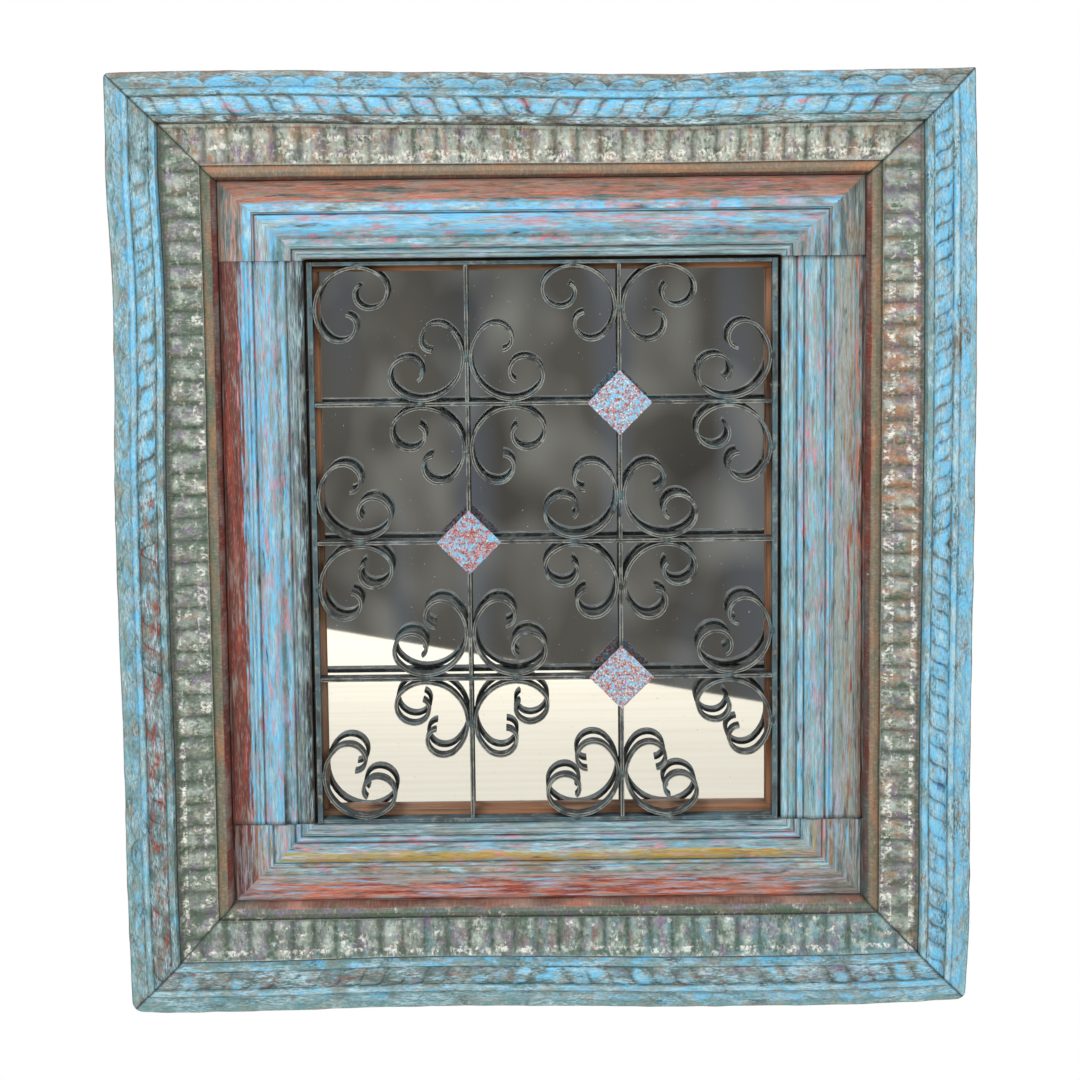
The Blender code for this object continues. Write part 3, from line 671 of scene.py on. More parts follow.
def outer_member(side):
    """Carve one side of the outer moulding."""
    half_x, half_z, width, back, front = member_sizes("outer")
    half = half_x if side in ("top", "bottom") else half_z
    seed = member_seed[side]
    radii = corner_radius[side]
    arch_share, rope_share = cut_share[side]

    def carve(share, row):
        inset = row.copy()
        for _ in range(edge_turns):
            along = share * (half - inset - mitre_gap)
            radius = np.where(share < 0, radii[0], radii[1])
            cut = rounded_corner(half - np.abs(along), radius) + edge_wave(along, seed)
            inset = 0.5 * inset + 0.5 * (row + cut * (1 - row / width) ** 2)
        base = np.interp(row / width, *zip(*outer_section))
        arch_cut, arch = scallops(along, row, seed + 1)
        rope_cuts, lobe = rope(along, row, side, seed + 2)
        dents = 0.0003 * soft_noise(along / 0.012, row / 0.004, seed + 3)
        arch_cut, rope_cuts = arch_cut * arch_share, rope_cuts * rope_share
        height = back + base * (front - back) - arch_cut - rope_cuts + dents
        x, z = on_side(side, along, inset, half_x, half_z)
        crest = np.where(row < ridge_start, arch, np.where(row < rope_start, 0.7,
                         np.where(row < rope_end, lobe, 0.5)))
        # Darkening for the paint: dirt and painted shade in the arches and rope cuts, and the dark
        # mitre joint.
        darkening = arch_dirt_and_shade * arch_cut + rope_dirt_and_shade * rope_cuts + mitre_dirt(share, half - inset)
        return x, height, z, -darkening, crest

    rows = rows_between([share * width for share, _ in outer_section], outer_row)
    piece = carved_grid(f"{member_node('outer', side)}_carved",
                        np.linspace(-1, 1, outer_columns + 1), rows, carve)
    close_back(piece, back)
    depth = front - back

    def along_and_across(points, middle):
        along, inset = across_side(side, points, half_x, half_z)
        on_back = points[:, 1] > -back - hair
        return along, np.where(on_back & (inset < width / 2), inset - depth,
                               np.where(on_back, inset + depth, inset))

    unroll(piece, along_and_across)
    push_out(piece, (joint_x, joint_z), (lip_x, lip_z))
    return piece


# %% [markdown]
# ## Paint of the outer moulding
# Sky blue over a weathered teal, over grey wood. Each side wore in its own way: the top is
# bluest left of the middle, the right side is nearly all blue, and on the left and at the
# bottom the rope shows brick red and violet. Cuts hold grime and painted shade. The coats of a
# side are a list that can be changed line by line: a colour, its amount, the band that it keeps
# to in millimetres from the outer side, and places along the side where the amount changes.

# %% A finish for carved members
moulding_reach = (-45, 105)
band_blend = 0.4


class MouldingFinish(Finish):
    """A finish for a carved member, with amounts along it and across it."""

    def __init__(self, name, bare, roughness=0.5):
        super().__init__(name, bare, roughness, place="UV")
        parts = self.add("SeparateXYZ", {0: self.place})
        self.length = parts.outputs["X"]
        self.width = self.maths("MULTIPLY", parts.outputs["Y"], 1000.0)
        self.cuts = self.add("Attribute", attribute_name="relief").outputs["Fac"]
        self.crest = self.add("Attribute", attribute_name="crest").outputs["Fac"]

    def across(self, *stops):
        """Amount at places across the member, in millimetres from its outer side."""
        return self.stops(self.width, *moulding_reach, stops)

    def along(self, *stops):
        """Amount at places along the member, in metres from its middle."""
        return self.stops(self.length, *side_reach, stops)

    def band(self, start, end, amount=1.0, along=None):
        """An amount that only one band of the member has, and that may change along it."""
        stops = [(start + band_blend, amount), (end - band_blend, amount)]
        if start > moulding_reach[0]:
            stops = [(moulding_reach[0], 0.0), (start - band_blend, 0.0)] + stops
        if end < moulding_reach[1]:
            stops += [(end + band_blend, 0.0), (moulding_reach[1], 0.0)]
        band = self.across(*stops)
        return self.maths("MULTIPLY", band, self.along(*along)) if along else band

    def proud(self, amount, lean):
        """Change an amount so that more of it lies on the crests, or in the hollows below 0: partly
        wear, and partly painted light on the crests and painted shade in the hollows.
        """
        return self.maths("MULTIPLY", amount,
                          self.maths("MULTIPLY_ADD", self.crest, lean, 1 - lean / 2))

    def banded(self, coats, size, seed, gain=6.0, detail=3.0, thickness=0.15, lean=0.0):
        """Lay coats that each keep to their own band: colour, amount, start, end, along."""
        for number, (colour, amount, start, end, *along) in enumerate(coats):
            share = self.band(start, end, amount, along)
            if lean:
                share = self.proud(share, lean if colour == "sky" else -lean / 2)
            self.coat(colour, share, size, seed + 3 * number, gain=gain, detail=detail,
                      thickness=thickness)

    def flecks(self, colour, amount, patch, speck, seed, thickness=0.0):
        """Small specks of a colour that stand together in patches."""
        together = self.cover(amount, patch, seed, gain=6, detail=2)
        small = self.cover(0.50, speck, seed + 1, gain=9)
        mask = self.maths("MULTIPLY", together, small)
        self.mix(mask, paints[colour])
        self.lift(mask, thickness)

    def bare_back(self, colour="dark_wood"):
        """Leave the back without paint."""
        facing = self.add("SeparateXYZ", {0: self.add("TexCoord").outputs["Normal"]})
        self.mix(self.maths("MULTIPLY_ADD", facing.outputs["Y"], 8.0, -5.0, clamp=True),
                 paints[colour])

    def grain(self, seed, strength=0.10, dark=0.5):
        """Fine lines of the wood, which show through every coat."""
        lines = self.noise((0.05, 0.0009, 1), seed, roughness=0.7)
        self.lift(lines, strength)
        deep = self.maths("MULTIPLY_ADD", lines, -6.0, 2.6, clamp=True)
        self.mix(self.maths("MULTIPLY", deep, dark), paints["grime"])

    def grime(self, strength=0.6, depth=0.0016):
        """Dirt and painted shade in the cuts."""
        dark = self.maths("MULTIPLY", self.cuts, -1.0 / depth, clamp=True)
        self.mix(self.maths("MULTIPLY", dark, strength), paints["grime"])


# %% Coats of the outer moulding, from the lowest up
outer_coats = {
    "top": (
        ("grey_wood", 0.56, -45, 19),
        ("sky", 0.60, 1, 18, (-0.5, 0.1), (-0.44, 0.4), (-0.38, 1.1), (-0.2, 1.0), (-0.05, 0.75),
         (0.15, 0.9), (0.32, 1.1), (0.42, 0.8), (0.47, 0.2)),
        ("sky", 0.66, 19, 28, (-0.5, 0.3), (-0.4, 0.5), (-0.33, 1.0), (-0.05, 0.7), (0.1, 1.1),
         (0.36, 1.1), (0.44, 0.4)),
        ("violet", 0.36, 29, 50, (-0.5, 0.9), (-0.2, 0.6), (0.0, 1.1), (0.5, 0.9)),
        ("sky", 0.58, 29, 50, (-0.5, 0.5), (-0.35, 1.1), (-0.2, 1.1), (-0.05, 0.8), (0.1, 1.0),
         (0.33, 1.1), (0.44, 0.4)),
        ("pink", 0.30, 29, 50, (-0.5, 0.9), (0.0, 1.0), (0.5, 0.9)),
        ("dark_wood", 0.72, 51, 105, (-0.5, 1.0), (0.1, 1.0), (0.3, 0.7), (0.5, 0.7)),
    ),
    "bottom": (
        ("mist", 0.48, -45, 28),
        ("teal", 0.66, -45, 18),
        ("sky", 0.34, 1, 18, (-0.5, 0.6), (0.0, 0.7), (0.2, 1.2), (0.5, 1.1)),
        ("sky", 0.50, 19, 28, (-0.5, 0.9), (-0.1, 0.8), (0.1, 1.2), (0.5, 1.1)),
        ("weathered", 0.40, 19, 28),
        ("violet", 0.50, 29, 50),
        ("dark_red", 0.34, 29, 50),
        ("brick", 0.44, 29, 50, (-0.5, 0.5), (-0.3, 1.1), (0.0, 0.9), (0.3, 0.7), (0.5, 0.3)),
        ("dull_teal", 0.70, 29, 50, (-0.5, 0.8), (0.0, 1.1), (0.5, 0.7)),
        ("sky", 0.38, 29, 50, (-0.5, 0.8), (-0.2, 0.4), (0.05, 1.3), (0.2, 0.6), (0.5, 1.2)),
        ("sky", 0.50, 51, 105, (-0.5, 0.7), (0.0, 0.9), (0.5, 1.1)),
        ("pale_sky", 0.42, 19, 28),
    ),
    "left": (
        ("mist", 0.50, -45, 28),
        ("weathered", 0.40, -45, 12),
        ("teal", 0.50, -45, 18),
        ("sky", 0.36, 1, 18, (-0.5, 0.8), (0.1, 1.0), (0.5, 1.1)),
        ("sky", 0.58, 19, 28, (-0.5, 0.5), (-0.1, 1.0), (0.1, 0.8), (0.25, 1.2), (0.5, 1.1)),
        ("violet", 0.72, 29, 50, (-0.5, 1.0), (0.1, 1.0), (0.25, 0.3), (0.5, 0.3)),
        ("dark_red", 0.40, 29, 50, (-0.5, 1.0), (0.05, 1.0), (0.2, 0.0), (0.5, 0.0)),
        ("dull_teal", 0.74, 29, 50, (-0.5, 1.1), (0.15, 1.0), (0.3, 0.5), (0.5, 0.5)),
        ("brick", 0.44, 29, 50, (-0.5, 0.9), (-0.2, 1.1), (0.1, 0.8), (0.25, 0.2), (0.5, 0.2)),
        ("sky", 0.40, 29, 50, (-0.5, 0.3), (-0.2, 0.4), (0.0, 0.7), (0.15, 1.3), (0.4, 1.3),
         (0.47, 0.4)),
        ("dull_teal", 0.50, 51, 105, (-0.5, 1.0), (0.1, 1.0), (0.3, 0.2), (0.5, 0.6)),
        ("sky", 0.50, 51, 105, (-0.5, 0.5), (0.1, 0.6), (0.3, 1.3), (0.5, 0.9)),
    ),
    "right": (
        ("mist", 1.0, -45, 28),
        ("sky", 0.84, 1, 18, (-0.5, 0.7), (-0.3, 1.2), (0.0, 1.0), (0.3, 0.8), (0.5, 0.9)),
        ("sky", 1.10, 19, 28, (-0.5, 0.8), (-0.4, 1.0), (0.5, 1.0)),
        ("grey_wood", 0.62, 18, 28, (-0.5, 0.0), (0.19, 0.0), (0.22, 1.2), (0.26, 1.2), (0.29, 0.0),
         (0.5, 0.2)),
        ("violet", 0.38, 34, 50, (-0.5, 1.0), (0.5, 0.9)),
        ("sky", 0.74, 29, 50, (-0.5, 0.9), (-0.2, 1.1), (0.05, 0.8), (0.3, 1.0), (0.5, 0.9)),
        ("deep_blue", 0.34, 29, 50, (-0.5, 1.0), (0.5, 0.8)),
        ("sky", 0.50, 51, 105, (-0.5, 0.7), (-0.2, 1.3), (0.1, 0.5), (0.5, 0.8)),
        ("pale_sky", 0.54, 19, 28, (-0.5, 1.0), (0.19, 1.0), (0.22, 0.3), (0.26, 0.3), (0.29, 1.0),
         (0.5, 1.0)),
    ),
}


# %% Paint of the outer moulding, side by side
def outer_finish(side):
    """Paint of one side of the outer moulding."""
    seed = member_seed[side]
    paint = MouldingFinish(f"outer_paint_{side}", "grey_wood")
    paint.coat("weathered", 0.60, (0.03, 0.008, 1), seed + 1, gain=5, detail=3, thickness=0.2)
    paint.coat("dull_teal", 0.44, (0.022, 0.008, 1), seed + 2, gain=5, detail=3)
    paint.coat("teal", 0.58, (0.035, 0.009, 1), seed + 3, gain=5, detail=3, thickness=0.2)
    # Sky blue leans to the crests and the other coats to the hollows: wear, and painted light and
    # shade of the carving.
    paint.banded(outer_coats[side], (0.026, 0.009, 1), seed + 6, gain=7, thickness=0.25,
                 lean=0.7)
    paint.flecks("weathered", 0.42, (0.03, 0.012, 1), (0.006, 0.0018, 1), seed + 50)
    paint.flecks("pale_sky", 0.46, (0.03, 0.012, 1), (0.008, 0.0014, 1), seed + 52, 0.15)
    paint.flecks("tan", 0.26, (0.03, 0.012, 1), (0.005, 0.002, 1), seed + 54)
    paint.flecks("dull_teal", 0.34, (0.04, 0.015, 1), (0.005, 0.002, 1), seed + 56)
    paint.coat("tan", paint.band(-45, 2.5, 0.45), (0.02, 0.006, 1), seed + 58)
    paint.bare_back()
    paint.mottle((0.0045, 0.0018, 1), seed + 60, dark=0.32, light=0.24)
    paint.lift(paint.noise((0.004, 0.0016, 1), seed + 61), 0.5)
    paint.grain(seed + 62, dark=0.4)
    # Dirt and painted shade in the cuts.
    paint.grime(0.62)
    return paint.done()


for side in sides:
    settle(outer_member(side), member_node("outer", side), outer_finish(side))

# %% [markdown]
# ## The fluted moulding
# It slopes from the outer moulding down to the window frame. Short round ribs stand side by
# side across it, like fingers, and a bead and a dark lip finish its inner side. Thick grey-green
# paint has chipped to white at the rib ends and to orange wood between the ribs.

# %% Section and ribs of the fluted moulding
fluted_section = (
    (0.0, 0.96), (0.02, 1.0), (0.06, 0.98), (0.2, 0.91), (0.4, 0.825), (0.6, 0.745),
    (0.735, 0.69), (0.745, 0.63), (0.79, 0.74), (0.86, 0.81), (0.925, 0.75), (0.975, 0.58),
    (1.0, 0.35),
)
rib_pitch, rib_height = 0.0268, 0.0046
rib_start = {"top": 0.0040, "bottom": 0.0040, "left": 0.0062, "right": 0.0062}
rib_end, rib_fade, rib_wander = 0.0432, 0.002, 0.0035
rib_crest, rib_wear, rib_dirt_and_shade = 0.80, 0.0006, 0.0016
fluted_columns, fluted_row = 420, 0.0013


def ribs(along, inset, side, seed):
    """Height of the ribs above the hollows between them, from 0 to 1."""
    place = (along + rib_wander * wander(along, 0.12, seed)) / rib_pitch
    beside = 2 * (place - np.rint(place))
    across = np.clip((inset - rib_start[side]) / (rib_end - rib_start[side]), 0, 1)
    ends = np.sqrt(np.clip(1 - (2 * across - 1) ** 8, 0, 1))
    return np.clip(1 - (beside * 1.02) ** 2, 0, 1) ** 0.6 * ends


def fluted_member(side):
    """Carve one side of the fluted moulding."""
    half_x, half_z, width, back, front = member_sizes("fluted")
    half = half_x if side in ("top", "bottom") else half_z
    seed = member_seed[side] + 100

    def carve(share, row):
        along = share * (half - row - mitre_gap)
        base = np.interp(row / width, *zip(*fluted_section))
        band = np.clip(np.minimum(row - rib_start[side], rib_end - row) / rib_fade, 0, 1)
        full = 0.82 + 0.22 * soft_noise(along / 0.03, row / 0.02, seed)
        rib = ribs(along, row, side, seed) * full
        worn = rib_wear * soft_noise(along / 0.008, row / 0.008, seed + 1) * band
        lift = rib_height * (rib - rib_crest) * band + worn
        dents = 0.0002 * soft_noise(along / 0.006, row / 0.003, seed + 2)
        x, z = on_side(side, along, row, half_x, half_z)
        # Darkening for the paint: dirt and painted shade in the valleys between the ribs, and the
        # dark mitre joint.
        darkening = rib_dirt_and_shade * np.clip(0.7 - rib, 0, 1) * band + mitre_dirt(share, half - row)
        return x, back + base * (front - back) + lift + dents, z, -darkening, rib * band

    rows = rows_between([share * width for share, _ in fluted_section], fluted_row)
    piece = carved_grid(f"{member_node('fluted', side)}_carved",
                        np.linspace(-1, 1, fluted_columns + 1), rows, carve)
    close_back(piece, back)

    def along_and_across(points, middle):
        return across_side(side, points, half_x, half_z)

    unroll(piece, along_and_across)
    push_out(piece, (joint_x, joint_z), (lip_x, lip_z))
    return piece


print("ribs on a long side:", round(2 * member_sizes("fluted")[1] / rib_pitch))

# %% Coats of the fluted moulding, of its lip, and chips of white
fluted_coats = {
    "top": (
        ("light_green", 0.64, 2, 43),
        ("orange", 0.38, 2, 43),
        ("violet", 0.32, 2, 43),
        ("dark_green", 0.26, 2, 43),
        ("light_green", 0.50, -45, 4),
    ),
    "bottom": (
        ("violet", 0.42, 2, 43),
        ("brick", 0.32, 8, 40, (-0.44, 0.4), (-0.2, 0.8), (0.0, 1.3), (0.15, 0.6), (0.3, 1.1),
         (0.44, 0.5)),
        ("dark_green", 0.56, 2, 43),
        ("teal", 0.42, 2, 43, (-0.44, 0.5), (0.1, 1.0), (0.3, 1.5), (0.44, 1.3)),
    ),
    "left": (
        ("violet", 0.34, 2, 43),
        ("tan", 0.34, 2, 43),
        ("dark_green", 0.54, 2, 43),
    ),
    "right": (
        ("dark_green", 0.52, 2, 43),
        ("orange", 0.48, 2, 43, (-0.5, 0.6), (0.0, 0.8), (0.08, 1.2), (0.26, 1.2), (0.36, 0.5),
         (0.5, 0.7)),
        ("violet", 0.32, 2, 43),
        ("light_green", 0.50, -45, 4),
    ),
}
lip_coats = {
    "top": (
        ("tan", 1.1, 43.8, 58),
        ("drab", 0.50, 44, 56),
        ("orange", 0.30, 44, 56),
        # Painted shade: the lip's inner edge faces down on the top side, so it is dark wood there.
        ("dark_wood", 1.2, 56.5, 105),
        ("brick", 0.34, 56.5, 105),
    ),
    "bottom": (
        ("dull_teal", 0.80, 43.8, 56),
        ("violet", 0.46, 44, 56),
        ("drab", 0.52, 44, 58),
        ("dark_green", 0.50, 44, 56),
        ("dusty_pink", 0.80, 56, 105),
        ("salmon", 0.50, 56, 105, (-0.44, 0.6), (-0.2, 1.0), (0.1, 1.0), (0.44, 0.6)),
        ("drab", 0.50, 56, 105),
        ("dark_red", 0.34, 56, 105),
    ),
    "left": (
        ("drab", 0.85, 43.8, 56),
        ("tan", 0.36, 44, 56),
        ("dark_green", 0.46, 44, 56),
        ("orange", 0.24, 44, 56),
        ("dark_red", 1.2, 55.5, 105),
        ("brick", 0.36, 55, 105),
        ("weathered", 0.34, 55.5, 105),
    ),
    "right": (
        ("drab", 1.0, 43.8, 58),
        ("tan", 0.50, 44, 56),
        ("orange", 0.24, 44, 56),
        ("dark_green", 0.34, 44, 58),
        ("dull_teal", 0.90, 56.5, 105, (-0.5, 1.2), (-0.12, 1.1), (0.0, 0.2), (0.5, 0.1)),
        ("brick", 0.62, 55.5, 105, (-0.5, 0.0), (-0.08, 0.2), (0.0, 1.0), (0.12, 1.2), (0.3, 0.9),
         (0.5, 0.5)),
        ("dark_red", 0.62, 56, 105),
    ),
}
chips = {
    "top": (
        (1, 12, 0.20),
        (12, 28, 0.30),
        (28, 43, 0.52, (-0.44, 0.3), (-0.34, 0.5), (-0.2, 1.0), (0.44, 0.9)),
    ),
    "bottom": (
        (1, 12, 0.44),
        (12, 30, 0.24),
        (30, 43, 0.24),
        (43, 57, 0.28),
    ),
    "left": (
        (1, 12, 0.48, (-0.5, 1.2), (-0.28, 1.2), (-0.15, 0.7), (0.5, 0.6)),
        (12, 30, 0.24),
        (30, 43, 0.38),
    ),
    "right": (
        (1, 12, 0.50, (-0.5, 1.1), (0.36, 1.0), (0.42, 0.3), (0.5, 0.2)),
        (12, 30, 0.20),
        (30, 43, 0.42, (-0.5, 1.1), (0.3, 1.0), (0.4, 0.4), (0.5, 0.3)),
    ),
}
# Dirt and painted shade in the joint with the outer moulding, in millimetres across; widest at the
# left and right.
joint_dirt_and_shade = {"top": 0.5, "bottom": 0.7, "left": 5.6, "right": 5.6}
joint_grey = paint_colour(58, 60, 50)
speckled_to = {"top": 43, "bottom": 57, "left": 43, "right": 43}


# %% Paint of the fluted moulding, side by side
def fluted_finish(side):
    """Paint of one side of the fluted moulding."""
    seed = member_seed[side] + 200
    paint = MouldingFinish(f"fluted_paint_{side}", "grey_wood", roughness=0.6)
    paint.coat("grey_green", 0.72, (0.014, 0.012, 1), seed + 1, gain=5, detail=3, thickness=0.2)
    # The coats lean to the hollows and light green to the rib crests: wear, and painted light and
    # shade of the ribs.
    paint.banded(fluted_coats[side], (0.010, 0.035, 1), seed + 4, gain=4, thickness=-0.15,
                 lean=0.7)
    paint.coat("light_green", paint.proud(paint.band(2, 43, 0.30), 0.9), (0.012, 0.012, 1),
               seed + 30, gain=4, detail=3, thickness=0.15)
    paint.banded(lip_coats[side], (0.05, 0.010, 1), seed + 50, gain=3)
    # Painted shade, with dark green paint, in the valleys between the ribs.
    valley = paint.maths("MULTIPLY", paint.cuts, -900.0, clamp=True)
    paint.mix(paint.maths("MULTIPLY", valley, 0.62), paints["dark_green"])
    fleck = (0.003, 0.0055, 1)
    paint.flecks("dark_green", paint.band(1, speckled_to[side], 0.42), (0.02, 0.015, 1), fleck,
                 seed + 70)
    paint.flecks("violet", paint.band(1, speckled_to[side], 0.34), (0.02, 0.02, 1), fleck,
                 seed + 72)
    for start, stop, amount, *along in chips[side]:
        patches = paint.proud(paint.band(start, stop, amount, along), 0.5)
        paint.flecks("chalk", patches, (0.013, 0.010, 1), (0.0034, 0.0050, 1), seed + start,
                     0.3)
    paint.bare_back()
    # Dirt and painted shade in the joint with the outer moulding.
    darkening = joint_dirt_and_shade[side]
    paint.mix(paint.across((-45, 0.8), (0.7 * darkening, 0.8), (1.15 * darkening, 0.0), (105, 0.0)),
              joint_grey)
    # Darker in the groove between the ribs and the lip.
    paint.mix(paint.across((-45, 0.0), (42.8, 0.0), (44.2, 0.45), (46.5, 0.0), (105, 0.0)),
              paints["grime"])
    paint.mottle((0.0024, 0.0045, 1), seed + 75, dark=0.28, light=0.16)
    paint.lift(paint.noise((0.0030, 0.0040, 1), seed + 76), 0.6)
    paint.grain(seed + 77, dark=0.2)
    # Dirt and painted shade in the valleys and cuts.
    paint.grime(0.5, depth=0.0020)
    return paint.done()


for side in sides:
    settle(fluted_member(side), member_node("fluted", side), fluted_finish(side))

# %% [markdown]
# ## The window frame
# The rails run the full width, and the stiles stand between them with butt joints that show.
# The same section runs round all four: reeds at the opening, a ridge, a round torus, two reeds,
# a flat and an outer ridge. At the corners it turns on a mitre cut into the rail. So the grid of
# a rail takes its height from whichever distance from the opening is greater.

# %% Section of the window frame
window_section = (
    (0.0, -0.5), (0.015, -0.3), (0.035, -0.2), (0.07, -0.2), (0.085, -0.32), (0.10, -0.2),
    (0.135, -0.2), (0.15, -0.32), (0.165, -0.25), (0.182, -0.45), (0.20, -0.05), (0.228, 0.1),
    (0.255, -0.05), (0.27, -0.4), (0.285, 0.0), (0.335, 0.35), (0.40, 0.5), (0.467, 0.35),
    (0.518, 0.0), (0.53, -0.25), (0.545, 0.2), (0.57, 0.25), (0.585, 0.05), (0.60, 0.25),
    (0.625, 0.15), (0.635, 0.0), (0.875, -0.05), (0.885, 0.2), (0.915, 0.45), (0.955, 0.4),
    (0.975, 0.1), (1.0, 0.0),
)
window_relief = 0.010
window_half_x, window_half_z, stile_width, window_back = member_sizes("window")[:4]
opening_x = window_half_x - stile_width
carved_x = lip_x - opening_x
shoulder_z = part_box("window_rail_top")[0].z
opening_z = shoulder_z + 0.0015
ledge_height = -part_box("mirror_slip_top")[1].y
rebate = 0.010
window_face = -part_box("batten_top")[0].y
window_arris = 0.010
rail_row, stile_row, plain_row = 0.0013, 0.0011, 0.004
print("opening:", round(2 * opening_x, 4), "by", round(2 * opening_z, 4))

# %% Steps of the section that lie elsewhere on one member
plane_shift = {
    "top": ((0.0, 0.0), (0.20, 0.14), (0.255, 0.20), (0.285, 0.31), (0.518, 0.555),
            (0.545, 0.58), (0.60, 0.60), (0.625, 0.69), (0.635, 0.715), (0.875, 0.965),
            (1.0, 1.0)),
    "bottom": ((0.0, 0.0), (0.20, 0.17), (0.255, 0.22), (0.518, 0.485), (0.60, 0.57),
               (0.635, 0.66), (0.875, 0.895), (1.0, 1.0)),
    "left": ((0.0, 0.0), (0.20, 0.215), (0.255, 0.272), (0.285, 0.345), (0.518, 0.575),
             (0.545, 0.61), (0.60, 0.665), (0.635, 0.70), (0.875, 0.96), (1.0, 1.0)),
    "right": ((0.0, 0.0), (1.0, 1.0)),
}


def to_side(share, side):
    """Where a place of the common section lies on one member, since no two were planed alike."""
    return np.interp(share, *zip(*plane_shift[side]))


def to_section(share, side):
    """Which place of the common section lies at a share across one member."""
    common, own = zip(*plane_shift[side])
    return np.interp(share, own, common)


def window_height(share, along, side, seed):
    """Height of the window frame at a share of the way from the opening to the lip."""
    base = np.interp(to_section(share, side), *zip(*window_section))
    grain = 0.00022 * soft_noise(along / 0.05, share / 0.016, seed)
    dents = 0.00025 * soft_noise(along / 0.012, share / 0.05, seed + 1)
    return window_face + base * window_relief + grain + dents


def window_across(share, side, points):
    """Place across a member for its paint, which runs on down its inner and outer sides."""
    beyond = np.maximum(share - 1, 0) + np.minimum(share, 0)
    drop = np.maximum(0, window_face - window_arris + points[:, 1])
    return (to_section(share, side) + beyond) * carved_x - drop


def split_back(piece, move_ledge):
    """Give a window member its sides, the ledge for the glass and its back."""
    extrude_border(piece, ledge_height)
    bpy.ops.mesh.extrude_region_move()
    start_alone()
    points = places_of(piece.data)
    chosen = np.empty(len(points), dtype=bool)
    piece.data.vertices.foreach_get("select", chosen)
    points[chosen] = move_ledge(points[chosen])
    move_to(piece, points)
    extrude_border(piece, window_back)
    fill_and_leave()


# %% The two rails, whose turned ends have places of their own along the paint
wing_along = 0.42


def window_rail(side):
    """Carve a rail, whose corners turn the section on a mitre."""
    sign = 1 if side == "top" else -1
    seed = member_seed[side] + 300
    carved_z = lip_z - opening_z
    stops = [to_side(share, side) for share, _ in window_section]
    wing = rows_between([opening_x + share * carved_x for share in stops], rail_row)
    wing = np.append(wing, window_half_x)
    middle = rows_between([-opening_x, opening_x], plain_row)
    columns = np.concatenate((-wing[::-1], middle[1:-1], wing))
    rows = rows_between([opening_z + share * carved_z for share in stops], rail_row)
    rows = np.append(rows, window_half_z)

    def carve(x, row):
        share_x = (np.abs(x) - opening_x) / carved_x
        share_z = (row - opening_z) / carved_z
        share = np.clip(np.maximum(share_x, share_z), 0, 1)
        z = np.where((row == rows[0]) & (np.abs(x) >= opening_x - 1e-6), shoulder_z, row)
        along = np.where(share_x > share_z, z, x)
        return x, window_height(share, along, side, seed), sign * z

    piece = carved_grid(f"window_rail_{side}_carved", columns, rows, carve)

    def move_ledge(points):
        at_opening = (np.abs(points[:, 0]) < opening_x + rebate) & (
            np.abs(points[:, 2]) < opening_z + rebate)
        points[at_opening, 2] = sign * (opening_z + rebate)
        return points

    split_back(piece, move_ledge)

    def along_and_across(points, middle):
        reach_x = np.abs(points[:, 0]) - opening_x
        reach_z = np.abs(points[:, 2]) - opening_z
        turned = (np.abs(middle[:, 0]) - opening_x) / carved_x > (
            np.abs(middle[:, 2]) - opening_z) / carved_z
        along = np.where(turned, np.sign(middle[:, 0]) * (wing_along + reach_z), points[:, 0])
        share = np.where(turned, reach_x / carved_x, reach_z / carved_z)
        return along, window_across(share, side, points)

    unroll(piece, along_and_across)
    return piece


# %% The two stiles, worn at the ends where they meet the rails
stile_columns = 180
end_wear, end_wear_reach = 0.0006, 0.004


def window_stile(side):
    """Carve a stile between the rails."""
    sign = 1 if side == "right" else -1
    seed = member_seed[side] + 300
    turned = [opening_x + to_side(share, side) * carved_x for share, _ in window_section]
    rows = np.append(rows_between(turned, stile_row), window_half_x)
    end = shoulder_z - mitre_gap
    columns = np.linspace(-end, end, stile_columns + 1)

    def carve(z, reach):
        share = np.clip((reach - opening_x) / carved_x, 0, 1)
        near = np.clip(1 - (end - np.abs(z)) / end_wear_reach, 0, 1)
        height = window_height(share, z, side, seed) - end_wear * near ** 2
        return sign * reach, height, z

    piece = carved_grid(f"window_stile_{side}_carved", columns, rows, carve)

    def move_ledge(points):
        at_opening = np.abs(points[:, 0]) < opening_x + rebate
        points[at_opening, 0] = sign * (opening_x + rebate)
        return points

    split_back(piece, move_ledge)

    def along_and_across(points, middle):
        share = (np.abs(points[:, 0]) - opening_x) / carved_x
        return points[:, 2], window_across(share, side, points)

    unroll(piece, along_and_across)
    return piece
